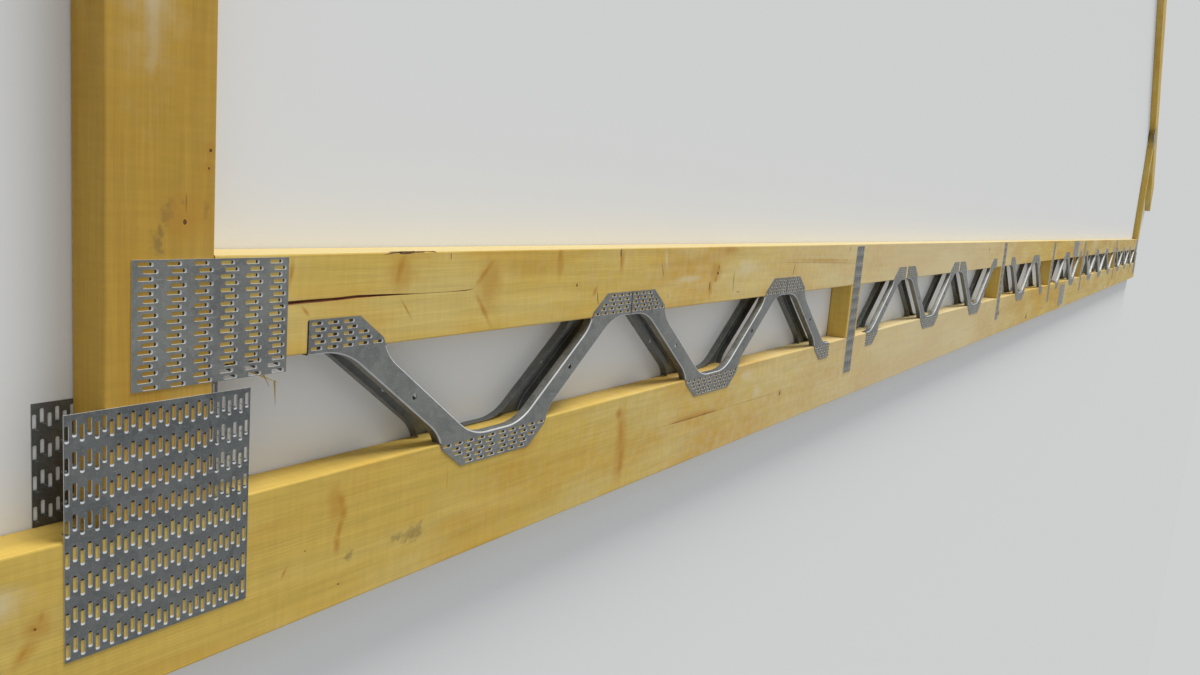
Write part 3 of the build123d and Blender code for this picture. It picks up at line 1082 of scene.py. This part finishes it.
@dataclass(frozen=True)
class Punch:
    """One punched slot, in metres. Its tooth is bent down at the slot's right hand end."""

    length: float
    width: float
    root: float = 1.5 * MM
    side: float = 0.22 * MM
    sink: float = 0.62 * MM
    pit: float = 1.7 * MM
    pit_margin: float = 2.4
    corner: float = 0.5
    tooth: Vector = Vector((0.9, 2.6, 7.5)) * MM
    tooth_overlap: float = 0.2 * MM
    tooth_taper: float = 0.7
    shade_thickness: float = 0.12 * MM
    shade_lift: float = 0.01 * MM

    def outline(self, left: float, right: float, width: float) -> list[Vector]:
        """Corners of a slot with cut corners, about its middle line.

        Args:
            left: Its left end, along X.
            right: Its right end.
            width: Its whole width, along Y.

        Returns:
            Eight points.
        """
        y = width / 2
        cut = y * self.corner
        upper = [(right, y - cut), (right - cut, y), (left + cut, y), (left, y - cut)]
        lower = [(x, -height) for x, height in reversed(upper)]
        return [Vector((x, height, 0)) for x, height in upper + lower]

    def mouth(self) -> list[Vector]:
        """The slot's edge on the outer face."""
        return self.outline(-self.length / 2, self.length / 2, self.width)

    def throat(self) -> list[Vector]:
        """The clear opening below the slot's rounded edge and the root of its tooth."""
        half = self.length / 2
        return self.outline(-half + self.side, half - self.root, self.width - 2 * self.side)

    @staticmethod
    def block(
        shape: bmesh.types.BMesh, place: Matrix, size: Sequence[float], middle: Vector
    ) -> list[bmesh.types.BMVert]:
        """Adds a block to a mesh.

        Args:
            shape: The mesh.
            place: The slot's place.
            size: Size of the block.
            middle: Its middle, from the slot's.

        Returns:
            Its vertices.
        """
        where = place @ Matrix.Translation(middle) @ Matrix.Diagonal((*size, 1))
        return bmesh.ops.create_cube(shape, size=1, matrix=where)["verts"]

    def add_pit_and_shadow(self, shape: bmesh.types.BMesh, place: Matrix, far: bool = False) -> None:
        """Shows the crushed hole that a tooth has left in the timber, as a dark patch that is partly painted
        shadow.

        Args:
            shape: The mesh that gets it.
            place: The slot's place.
            far: Whether it is at the slot's far end, where the patch is painted shadow of that end's edge,
                and not beside the root.
        """
        reach = self.length / 2 - (self.side if far else self.root) - self.pit / 2
        size = (self.pit, self.width - self.pit_margin * self.side)
        self.add_shade(shape, place, size, (-reach if far else reach, 0))

    def add_shade(self, shape: bmesh.types.BMesh, place: Matrix, size: tuple, middle: tuple) -> None:
        """Adds a dark patch of painted shade on the timber.

        Args:
            shape: The mesh that gets it.
            place: Place that the patch is measured from.
            size: Its length and width.
            middle: Its middle.
        """
        spot = Vector((*middle, -STEEL_T + self.shade_thickness / 2 + self.shade_lift))
        for vertex in self.block(shape, place, (*size, self.shade_thickness), spot):
            for face in vertex.link_faces:
                face.material_index = Steel.PIT_AND_SHADOW.value

    def add_tooth(self, shape: bmesh.types.BMesh, place: Matrix) -> None:
        """Adds a pointed tooth where the plate stands clear of the timber.

        Args:
            shape: The mesh that gets it.
            place: The slot's place.
        """
        across, deep = self.tooth.x / 2, self.tooth.z / 2
        middle = Vector((self.length / 2 - self.root - across, 0, -STEEL_T - deep + self.tooth_overlap))
        verts = self.block(shape, place, self.tooth, middle)
        back = place.inverted()
        tip = [vertex for vertex in verts if (back @ vertex.co).z < middle.z]
        point = place @ Vector((middle.x, 0, -STEEL_T - self.tooth.z))
        for vertex in tip:
            vertex.co = vertex.co.lerp(point, self.tooth_taper)


@dataclass(frozen=True)
class PunchedSlot:
    """A slot's middle and direction on a pressing."""

    middle: Vector
    turn: float = 0.0

    def matrix(self) -> Matrix:
        """The slot's place on the pressing."""
        return Matrix.Translation(self.middle) @ Matrix.Rotation(self.turn, 4, "Z")


class PunchedSheet:
    """A flat pressing with slots. Its outer face is up, at Z = 0, and its back one steel thickness down."""

    def __init__(self, punch: Punch) -> None:
        """Starts an empty sheet.

        Args:
            punch: Shape of its slots.
        """
        self.shape = bmesh.new()
        self.punch = punch

    def loop(self, points: Iterable[Vector]) -> list[bmesh.types.BMEdge]:
        """A closed loop of edges through points."""
        corners = [self.shape.verts.new(point) for point in points]
        return [self.shape.edges.new((corners[n - 1], corners[n])) for n in range(len(corners))]

    def wall(self, upper: list[bmesh.types.BMEdge], lower: list[bmesh.types.BMEdge]) -> None:
        """Joins two loops by a cut edge of the sheet, whose lighter finish paints a highlight on it."""
        for face in bmesh.ops.bridge_loops(self.shape, edges=upper + lower)["faces"]:
            face.material_index = Steel.EDGE_HIGHLIGHT.value

    def slot(self, slot: PunchedSlot, through: bool = True) -> tuple[list, list]:
        """Walls of one slot, from its mouth on the outer face down.

        Args:
            slot: Where the slot is and how it is turned.
            through: Whether its walls go down to the sheet's back.

        Returns:
            The mouth's edges and the lowest edges.
        """
        place = slot.matrix()
        mouth = self.loop(place @ point for point in self.punch.mouth())
        throat = self.loop(place @ (point - Vector((0, 0, self.punch.sink))) for point in self.punch.throat())
        self.wall(mouth, throat)
        if through:
            end = self.loop(place @ (point - Vector((0, 0, STEEL_T))) for point in self.punch.throat())
            self.wall(throat, end)
            throat = end
        return mouth, throat

    def fill(self, edges: list[bmesh.types.BMEdge]) -> None:
        """Fills a flat region that has holes."""
        up = (0, 0, 1)
        bmesh.ops.triangle_fill(self.shape, use_beauty=True, use_dissolve=False, edges=edges, normal=up)

    def plate(self, corners: Sequence[Vector], slots: Sequence[PunchedSlot]) -> None:
        """A closed flat plate with slots.

        Args:
            corners: Its outline.
            slots: Its slots.
        """
        top = self.loop(corners)
        back = self.loop([corner - Vector((0, 0, STEEL_T)) for corner in corners])
        self.wall(top, back)
        mouths, ends = list(top), list(back)
        for place in slots:
            mouth, end = self.slot(place)
            mouths += mouth
            ends += end
        self.fill(mouths)
        self.fill(ends)
        bmesh.ops.recalc_face_normals(self.shape, faces=self.shape.faces)


@dataclass(frozen=True)
class NailPlateSizes:
    """How the slots of a nail plate are set out, in metres."""

    pitch: float = 25.4 * MM
    row_pitch: float = 6.0 * MM
    stagger: float = 4.4 * MM
    first: Vector = Vector((0.9, -0.6, 0)) * MM
    punch: Punch = Punch(14.0 * MM, 3.6 * MM, pit=1.6 * MM)

    def slots(self, length: float, width: float) -> list[PunchedSlot]:
        """Slots of a plate whose length runs along X, round its middle.

        Args:
            length: The plate's length, along its slots.
            width: The plate's width.

        Returns:
            The slots, row by row.
        """
        rows = round(width / self.row_pitch)
        columns = round(length / self.pitch)
        found = []
        for row in range(rows):
            shift = -self.stagger / 2 if row % 2 else self.stagger / 2
            y = (row - (rows - 1) / 2) * self.row_pitch
            for column in range(columns):
                x = (column - (columns - 1) / 2) * self.pitch + shift
                found.append(PunchedSlot(Vector((x, y, 0)) + self.first))
        return found


class NailPlates:
    """All flat nail plates. Each takes its place, size and turn from the solid that it replaces."""

    WORDS = (
        *("heel_plate", "knee_plate", "strap_plate", "joint_plates"),
        *("ridge_plates", "king_foot", "eaves", "tie_plates"),
    )
    WORN = ("heel_plate", "strap_plate")
    PROBE = 3 * STEEL_T
    UPRIGHT = 0.5

    def __init__(
        self, sizes: NailPlateSizes, finish: Sequence[bpy.types.Material], worn: bpy.types.Material
    ) -> None:
        """Keeps the slots' sizes and the finish, and looks where the timber lies.

        Args:
            sizes: How the slots are set out.
            finish: Finish of the plates' faces, of the cut edges with their painted highlight, and of the
                pits with their painted shadow.
            worn: Face of the plates whose zinc has gone dull.
        """
        self.sizes = sizes
        self.finish = finish
        self.worn = worn
        self.pressed: dict[tuple, bpy.types.Mesh] = {}
        timber = bmesh.new()
        for name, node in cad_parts.items():
            if not any(word in name for word in (*self.WORDS, "_webs_")):
                timber.from_mesh(node.data)
        self.timber = BVHTree.FromBMesh(timber)
        timber.free()

    def pressing(self, length: float, width: float) -> bpy.types.Mesh:
        """A plate of a size, pressed once and used again for its like.

        Args:
            length: The plate's length, along its slots.
            width: The plate's width.

        Returns:
            The plate, round its middle.
        """
        key = (round(length / MM, 1), round(width / MM, 1))
        if key not in self.pressed:
            sheet = PunchedSheet(self.sizes.punch)
            x, y = length / 2, width / 2
            corners = [Vector(corner) for corner in ((x, y, 0), (-x, y, 0), (-x, -y, 0), (x, -y, 0))]
            sheet.plate(corners, self.sizes.slots(length, width))
            self.pressed[key] = bpy.data.meshes.new("pressing")
            sheet.shape.to_mesh(self.pressed[key])
            sheet.shape.free()
        return self.pressed[key]

    def build(self) -> None:
        """Makes the plates of every plate node."""
        for node in sorted(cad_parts):
            if any(word in node for word in self.WORDS):
                self.build_node(node)
        for mesh in self.pressed.values():
            bpy.data.meshes.remove(mesh)

    @staticmethod
    def lie_of(group: Sequence[bmesh.types.BMVert]) -> tuple[Matrix, float, float]:
        """Finds how a plate lies from its solid.

        Args:
            group: The solid's vertices.

        Returns:
            Its place, its length and its width. The slots' right hand ends point right, or else down.
        """
        edges = {edge for vertex in group for edge in vertex.link_edges}
        flat = [edge for edge in edges if abs(edge.verts[0].co.z - edge.verts[1].co.z) < LEVEL_REACH]
        longest = max(flat, key=lambda edge: edge.calc_length())
        run = longest.verts[1].co - longest.verts[0].co
        if run.x < -LEVEL_REACH or (abs(run.x) < LEVEL_REACH and run.y > 0):
            run = -run
        turn = math.atan2(run.y, run.x)
        middle, size = turned_box([vertex.co for vertex in group], turn)
        place = Matrix.Translation((middle.x, middle.y, 0)) @ Matrix.Rotation(turn, 4, "Z")
        if middle.z > MID_PLANE:
            place = Matrix.Translation((0, 0, TIMBER_FRONT + STEEL_T)) @ place
        else:
            place = place @ Matrix.Scale(-1, 4, (0, 0, 1))
        return place, size.x, size.y

    def is_backed(self, place: Matrix) -> bool:
        """Says whether timber lies behind a slot."""
        inwards = place.to_3x3() @ Vector((0, 0, -1))
        return self.timber.ray_cast(place.translation, inwards, self.PROBE)[0] is not None

    def build_node(self, node: str) -> None:
        """Makes the plates of one node, on the front, on the back or on both.

        Args:
            node: Name of the solids that they replace.
        """
        solid = node_shape(node)
        shape = bmesh.new()
        punch = self.sizes.punch
        for group in islands(solid):
            place, length, width = self.lie_of(group)
            upright = abs((place.to_3x3() @ Vector((1, 0, 0))).y) > self.UPRIGHT
            fresh = bmesh.new()
            for slot in self.sizes.slots(length, width):
                if self.is_backed(place @ slot.matrix()):
                    # A dark patch beside the root, or at the upper end of upright slots, paints the pit's
                    # shade.
                    punch.add_pit_and_shadow(fresh, slot.matrix(), far=upright)
                else:
                    punch.add_tooth(fresh, slot.matrix())
            fresh.from_mesh(self.pressing(length, width))
            add_to(shape, fresh, place)
        solid.free()
        face = self.worn if any(word in node for word in self.WORN) else self.finish[Steel.FACE.value]
        piece = finished_mesh(f"nail_{node}", shape, face, *self.finish[Steel.EDGE_HIGHLIGHT.value :])
        hand_over(piece, Slot.STEEL, node)


@dataclass(frozen=True)
class WebSizes:
    """A pressed V web, in metres. Each half is the same when turned about the middle of its leg."""

    length: float = 596 * MM
    single_length: float = 288 * MM
    bite: float = 33 * MM
    leg_width: float = 27.6 * MM
    leg_angle: float = math.radians(37.5)
    plate_top: float = 65 * MM
    plate_side: float = 98.5 * MM
    chamfer: float = 25 * MM
    neck: float = 15 * MM
    neck_ease: float = 14 * MM
    ease_reach: float = 0.85
    bend_radius: float = 80 * MM
    lip: float = 1.8 * MM
    flange: float = 12 * MM
    flange_clearance: float = 0.6 * MM
    flange_radius: float = 1.5 * MM
    hole_radius: float = 3.6 * MM
    hole_sides: int = 14
    # Width of the painted shadow line at each end of a web's upper plates.
    end_shadow_line: float = 0.95 * MM
    inner_merge: float = 0.005 * MM
    seam_merge: float = 0.02 * MM
    cut_merge: float = 0.001 * MM
    slot_pitch: float = 20.2 * MM
    slot_rows: tuple = (3, 3, 4, 4, 5)
    slot_row_pitch: float = 6.15 * MM
    slot_first: tuple = (9.9 * MM, 14.4 * MM)
    slot_edge: float = 4.0 * MM
    punch: Punch = Punch(14.0 * MM, 3.4 * MM, pit=4.6 * MM)
    bend_steps: int = 12
    flange_steps: int = 4


class PressedWeb:
    """One web on the front face, drawn from its left end with the bottom chord's top edge at Y = 0."""

    def __init__(self, sizes: WebSizes, gap: float) -> None:
        """Works out the half web's chains of points.

        Args:
            sizes: Sizes of the web.
            gap: Clear height between the chords.
        """
        self.sizes = sizes
        self.gap = gap
        self.middle = Vector((sizes.length / 4, gap / 2, 0))
        self.along = Vector((math.cos(sizes.leg_angle), -math.sin(sizes.leg_angle), 0))
        self.across = Vector((-self.along.y, self.along.x, 0))

    def width(self, kind: WebKind) -> float:
        """How far a kind of web reaches along the truss."""
        return self.sizes.length if kind == WebKind.WHOLE else self.sizes.single_length

    def leg_edge(self, height: float) -> Vector:
        """Point where the upper edge of the leg is at a height."""
        start = self.middle + self.across * (self.sizes.leg_width / 2)
        return start + self.along * ((height - start.y) / self.along.y)

    def upper_chain(self) -> list[Vector]:
        """The leg's upper edge, from the upper chord down round the lower bend to the web's middle.

        Returns:
            Its points.
        """
        sizes = self.sizes
        corner = Vector((sizes.plate_side, self.gap + sizes.bite - sizes.chamfer, 0))
        neck = self.leg_edge(self.gap - sizes.neck)
        start_y = self.gap - sizes.flange_clearance
        start = corner + (neck - corner) * ((start_y - corner.y) / (neck.y - corner.y))
        bend = self.leg_edge(sizes.lip)
        reach = sizes.bend_radius * math.tan(sizes.leg_angle / 2)
        first = bend - self.along * reach
        centre = first + self.across * sizes.bend_radius
        arc = []
        for step in range(sizes.bend_steps + 1):
            turn = sizes.leg_angle * step / sizes.bend_steps
            arc.append(centre + Matrix.Rotation(turn, 3, "Z") @ (first - centre))
        return [start, *self.eased(start, neck, first), *arc, Vector((sizes.length / 2, sizes.lip, 0))]

    def eased(self, before: Vector, corner: Vector, after: Vector) -> list[Vector]:
        """Points that round a corner off.

        Args:
            before: Point before the corner.
            corner: The corner.
            after: Point after it.

        Returns:
            The points.
        """
        reach = self.sizes.ease_reach * self.sizes.neck_ease
        leave = corner.lerp(before, min(1, reach / (before - corner).length))
        enter = corner + (after - corner).normalized() * self.sizes.neck_ease
        steps = [step / self.sizes.flange_steps for step in range(self.sizes.flange_steps + 1)]
        return [leave.lerp(corner, step).lerp(corner.lerp(enter, step), step) for step in steps]

    def turned(self, points: Iterable[Vector]) -> list[Vector]:
        """Points turned end for end about the middle of the leg."""
        return [2 * self.middle - point for point in points]

    @staticmethod
    def moved_in(chain: Sequence[Vector], distance: float) -> list[Vector]:
        """Moves a chain of points to the right of its direction, with mitred corners.

        Args:
            chain: The points.
            distance: How far they move.

        Returns:
            The moved points.
        """
        result = []
        for number, point in enumerate(chain):
            before = (point - chain[number - 1]).normalized() if number else None
            after = (chain[number + 1] - point).normalized() if number + 1 < len(chain) else None
            runs = [run for run in (before, after) if run is not None]
            normals = [Vector((run.y, -run.x, 0)) for run in runs]
            mitre = sum(normals, Vector()).normalized()
            result.append(point + mitre * (distance / mitre.dot(normals[0])))
        return result

    def slots(self, turn: float) -> list[PunchedSlot]:
        """Slots of the half plate at the left and of the half plate in the middle.

        Args:
            turn: Which way their teeth are bent.

        Returns:
            The slots.
        """
        sizes = self.sizes
        upper = []
        for row, count in enumerate(sizes.slot_rows):
            y = self.gap + sizes.bite - sizes.slot_edge - row * sizes.slot_row_pitch
            first = sizes.slot_first[row % 2]
            upper += [Vector((first + number * sizes.slot_pitch, y, 0)) for number in range(count)]
        return [PunchedSlot(spot, turn) for spot in upper + self.turned(upper)]

    def half(self, turn: float) -> bmesh.types.BMesh:
        """The outer skin of the left half: flat face with slots and hole, and its edges bent back.

        Args:
            turn: Which way its teeth are bent.

        Returns:
            An open skin whose face is at Z = 0.
        """
        sizes = self.sizes
        sheet = PunchedSheet(sizes.punch)
        shape = sheet.shape
        chain = self.upper_chain()
        inner = self.moved_in(chain, sizes.flange_radius)
        top = self.gap + sizes.bite
        plate = ((0, top, 0), (sizes.plate_top, top, 0), (sizes.plate_side, top - sizes.chamfer, 0))
        upper = [Vector(corner) for corner in plate] + [chain[0]] + inner
        edges = sheet.loop(upper + self.turned(upper))
        for slot in self.slots(turn):
            edges += sheet.slot(slot, through=False)[0]
        hole = []
        for number in range(sizes.hole_sides):
            spin = Matrix.Rotation(math.tau * number / sizes.hole_sides, 3, "Z")
            hole.append(self.middle + spin @ Vector((sizes.hole_radius, 0, 0)))
        edges += sheet.loop(hole)
        sheet.fill(edges)
        for lower in (False, True):
            self.bend_back(shape, chain, lower)
        bmesh.ops.remove_doubles(shape, verts=shape.verts, dist=sizes.inner_merge)
        return shape

    def bend_back(self, shape: bmesh.types.BMesh, chain: Sequence[Vector], turned: bool) -> None:
        """Bends one edge of the leg back in a round corner and a flange.

        Args:
            shape: Mesh that takes the flange.
            chain: The edge's outermost line.
            turned: Whether it is the lower edge, which is the upper one turned end for end.
        """
        sizes = self.sizes
        levels = []
        for step in range(sizes.flange_steps + 1):
            angle = math.pi / 2 * step / sizes.flange_steps
            inwards, down = 1 - math.sin(angle), 1 - math.cos(angle)
            levels.append((sizes.flange_radius * inwards, -sizes.flange_radius * down))
        levels.append((0.0, -sizes.flange - STEEL_T))
        previous = None
        for distance, depth in levels:
            points = self.moved_in(chain, distance)
            points = self.turned(points) if turned else points
            verts = [shape.verts.new(point + Vector((0, 0, depth))) for point in points]
            edges = [shape.edges.new(pair) for pair in zip(verts, verts[1:])]
            if previous:
                for face in bmesh.ops.bridge_loops(shape, edges=previous + edges)["faces"]:
                    # Faces of the round bend take the lighter edge finish: a painted highlight along it.
                    face.material_index = Steel.EDGE_HIGHLIGHT.value if depth > -2 * sizes.flange_radius else 0
            previous = edges

    def skin(self, kind: WebKind) -> bmesh.types.BMesh:
        """The outer skin of a whole web or of a single leg.

        Args:
            kind: Which legs it has.

        Returns:
            The open skin.
        """
        sizes = self.sizes
        parts = []
        for side, turn in ((WebKind.FALLING, 0.0), (WebKind.RISING, math.pi)):
            if kind in (WebKind.WHOLE, side):
                part = self.half(turn)
                if kind != WebKind.WHOLE:
                    geometry = part.verts[:] + part.edges[:] + part.faces[:]
                    cut = {"plane_co": (self.width(kind), 0, 0), "plane_no": (1, 0, 0), "clear_outer": True}
                    bmesh.ops.bisect_plane(part, geom=geometry, dist=sizes.cut_merge, **cut)
                flip = Matrix.Translation((self.width(kind), 0, 0)) @ Matrix.Scale(-1, 4, (1, 0, 0))
                parts.append((part, flip if side == WebKind.RISING else Matrix.Identity(4)))
        whole = bmesh.new()
        for part, place in parts:
            add_to(whole, part, place)
        bmesh.ops.remove_doubles(whole, verts=whole.verts, dist=sizes.seam_merge)
        bmesh.ops.recalc_face_normals(whole, faces=whole.faces)
        flat = max(whole.faces, key=lambda face: face.calc_area() * abs(face.normal.z))
        if flat.normal.z < 0:
            bmesh.ops.reverse_faces(whole, faces=whole.faces)
        return whole

    def add_end_shadow_line(self, shape: bmesh.types.BMesh, x: float) -> None:
        """Adds painted shadow: a dark line on the timber in the joint at an end of an upper plate.

        Args:
            shape: Mesh that gets it.
            x: Where its middle is along the web.
        """
        sizes = self.sizes
        size = (sizes.end_shadow_line, sizes.bite - sizes.slot_edge / 2)
        sizes.punch.add_shade(shape, Matrix.Identity(4), size, (x, self.gap + sizes.bite / 2))

    def web(self, kind: WebKind) -> bpy.types.Mesh:
        """A whole web or a single leg as a closed mesh of real thickness, with the pits beside its teeth and
        painted shadow lines at its ends.

        Args:
            kind: Which legs it has.

        Returns:
            The mesh.
        """
        sizes = self.sizes
        skin = finished_mesh("skin", self.skin(kind))
        wall = skin.modifiers.new("wall", "SOLIDIFY")
        wall.thickness = STEEL_T
        wall.offset = -1
        # The rims of the web's edges get the painted highlight too.
        wall.material_offset_rim = Steel.EDGE_HIGHLIGHT.value
        thick = bmesh.new()
        width = self.width(kind)
        # Pits beside the teeth, partly painted shadow.
        for slot in self.slots(0.0):
            if kind != WebKind.RISING:
                sizes.punch.add_pit_and_shadow(thick, slot.matrix())
            if kind != WebKind.FALLING:
                mirrored = Vector((width - slot.middle.x, slot.middle.y, 0))
                sizes.punch.add_pit_and_shadow(thick, PunchedSlot(mirrored).matrix())
        if kind != WebKind.RISING:
            self.add_end_shadow_line(thick, -sizes.end_shadow_line / 2)
        if kind != WebKind.FALLING:
            self.add_end_shadow_line(thick, width + sizes.end_shadow_line / 2)
        thick.from_object(skin, bpy.context.evaluated_depsgraph_get())
        thin = skin.data
        bpy.data.objects.remove(skin)
        bpy.data.meshes.remove(thin)
        mesh = bpy.data.meshes.new("web")
        thick.to_mesh(mesh)
        thick.free()
        return mesh


class FloorWebs:
    """The pressed webs of every bay, on both faces."""

    SINGLE_REACH = 400 * MM

    def __init__(self, sizes: WebSizes, finish: Sequence[bpy.types.Material]) -> None:
        """Presses one web of each kind.

        Args:
            sizes: Sizes of the webs.
            finish: Finish of the webs' faces, of the cut edges and bends with their painted highlight, and of
                the pits with their painted shadow.
        """
        self.finish = finish
        press = PressedWeb(sizes, GAP_TOP - CHORD_TOP)
        self.pressed = {kind: press.web(kind) for kind in WebKind}

    def kind_of(self, group: Sequence[bmesh.types.BMVert]) -> WebKind:
        """Tells a whole web from a leg that falls or rises to the right.

        Args:
            group: Vertices of the solid that it replaces.

        Returns:
            The kind.
        """
        left = min(vertex.co.x for vertex in group)
        right = max(vertex.co.x for vertex in group)
        if right - left > self.SINGLE_REACH:
            return WebKind.WHOLE
        highest = max(group, key=lambda vertex: vertex.co.y)
        return WebKind.FALLING if highest.co.x - left < right - highest.co.x else WebKind.RISING

    def build(self) -> None:
        """Makes the webs of each node, at the places of its solids."""
        for node in sorted(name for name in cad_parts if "_webs_" in name):
            side = Face(node.rsplit("_", 1)[1])
            solid = node_shape(node)
            shape = bmesh.new()
            for group in islands(solid):
                fresh = bmesh.new()
                fresh.from_mesh(self.pressed[self.kind_of(group)])
                left = min(vertex.co.x for vertex in group)
                place = Matrix.Translation((left, CHORD_TOP, TIMBER_FRONT + STEEL_T))
                if side == Face.BACK:
                    about = Matrix.Translation((0, 0, 2 * MID_PLANE))
                    place = about @ Matrix.Scale(-1, 4, (0, 0, 1)) @ place
                add_to(shape, fresh, place)
            solid.free()
            piece = finished_mesh(f"pressed_{node}", shape, *self.finish)
            for polygon in piece.data.polygons:
                polygon.use_smooth = True
            piece.data.set_sharp_from_angle(angle=SMOOTH_ANGLE)
            hand_over(piece, Slot.STEEL, node)
        for mesh in self.pressed.values():
            bpy.data.meshes.remove(mesh)


@dataclass(frozen=True)
class Studio:
    """Pale floor, soft lights and the camera."""

    floor_size: float = 900.0
    floor_colour: tuple = shade(232, 232, 230)
    camera_place: tuple = (-5.52092, -2.10201, 0.76953)
    camera_right: tuple = (0.5464, 0.0788, 0.8338)
    camera_up: tuple = (0.0866, 0.9849, -0.1498)
    camera_forward: tuple = (0.8330, -0.1540, -0.5313)
    lens: float = 28.744
    sensor: float = 36.0
    view_reach: float = 2000
    sun_direction: tuple = (0.25, 1.0, 0.24)
    sun_strength: float = 3.35
    sun_spread: float = math.radians(24)
    sun_colour: tuple = (1.0, 0.985, 0.96)
    sky_strength: float = 0.56
    sky_colour: tuple = (0.93, 0.96, 1.0, 1)
    backdrop: tuple = shade(207, 208, 208)

    def floor(self) -> None:
        """A wide pale floor under the truss."""
        shape = bmesh.new()
        bmesh.ops.create_grid(shape, x_segments=1, y_segments=1, size=self.floor_size / 2)
        graph = Graph("studio_floor")
        graph.shader.inputs["Base Color"].default_value = self.floor_colour
        graph.shader.inputs["Roughness"].default_value = 1.0
        graph.shader.inputs["Specular IOR Level"].default_value = 0.0
        finished_mesh("studio_floor", shape, graph.material)

    def lights(self) -> None:
        """A soft sun from the side of the ridge, and an even sky."""
        lamp = bpy.data.lights.new("key", "SUN")
        lamp.energy = self.sun_strength
        lamp.angle = self.sun_spread
        lamp.color = self.sun_colour
        key = bpy.data.objects.new("key", lamp)
        key.rotation_euler = Vector(self.sun_direction).to_track_quat("Z", "Y").to_euler()
        bpy.context.scene.collection.objects.link(key)
        world = bpy.data.worlds.new("sky")
        bpy.context.scene.world = world
        world.use_nodes = True
        tree = world.node_tree
        light = tree.nodes["Background"]
        light.inputs["Color"].default_value = self.sky_colour
        light.inputs["Strength"].default_value = self.sky_strength
        seen = tree.nodes.new("ShaderNodeBackground")
        seen.inputs["Color"].default_value = self.backdrop
        rays = tree.nodes.new("ShaderNodeLightPath")
        shown = rays.outputs["Is Camera Ray"]
        for kind in ("Is Glossy Ray", "Is Transmission Ray"):
            either = tree.nodes.new("ShaderNodeMath")
            either.operation = "MAXIMUM"
            tree.links.new(shown, either.inputs[0])
            tree.links.new(rays.outputs[kind], either.inputs[1])
            shown = either.outputs[0]
        choice = tree.nodes.new("ShaderNodeMixShader")
        tree.links.new(shown, choice.inputs[0])
        tree.links.new(light.outputs[0], choice.inputs[1])
        tree.links.new(seen.outputs[0], choice.inputs[2])
        tree.links.new(choice.outputs[0], tree.nodes["World Output"].inputs["Surface"])

    def camera(self) -> None:
        """The camera at the photograph's place, over the truss and looking along its floor."""
        lens = bpy.data.cameras.new("camera")
        lens.lens = self.lens
        lens.sensor_width = self.sensor
        lens.sensor_fit = "HORIZONTAL"
        lens.clip_end = self.view_reach
        camera = bpy.data.objects.new("camera", lens)
        rows = Matrix((self.camera_right, self.camera_up, [-value for value in self.camera_forward]))
        camera.matrix_world = Matrix.Translation(self.camera_place) @ rows.transposed().to_4x4()
        bpy.context.scene.collection.objects.link(camera)
        bpy.context.scene.camera = camera
        bpy.context.scene.view_settings.view_transform = "Standard"


def main() -> None:
    """Builds the truss's pieces in order and sets the studio."""
    logging.basicConfig(level=logging.INFO)
    studio = Studio()
    studio.camera()
    # A lighter, less metallic finish paints a highlight on cut edges and bends; the pits' dark finish is
    # partly painted shadow.
    bright = (shade(188, 190, 190), shade(176, 178, 178), shade(204, 205, 204))
    pressed = (
        GalvanisedFinish("galvanised").material(),
        GalvanisedFinish("painted_edge_highlight", *bright, metallic=0.1).material(),
        DarkFinish("tooth_pit_and_shadow", shade(70, 50, 28), shade(34, 25, 14)).material(),
    )
    TimberFrame(SoftwoodFinish()).build()
    FloorWebs(WebSizes(), pressed).build()
    dull = (shade(108, 111, 110), shade(92, 95, 95), shade(142, 145, 144))
    worn = GalvanisedFinish("dull_galvanised", *dull).material()
    NailPlates(NailPlateSizes(), pressed, worn).build()
    studio.floor()
    studio.lights()


if __name__ == "__main__":
    main()
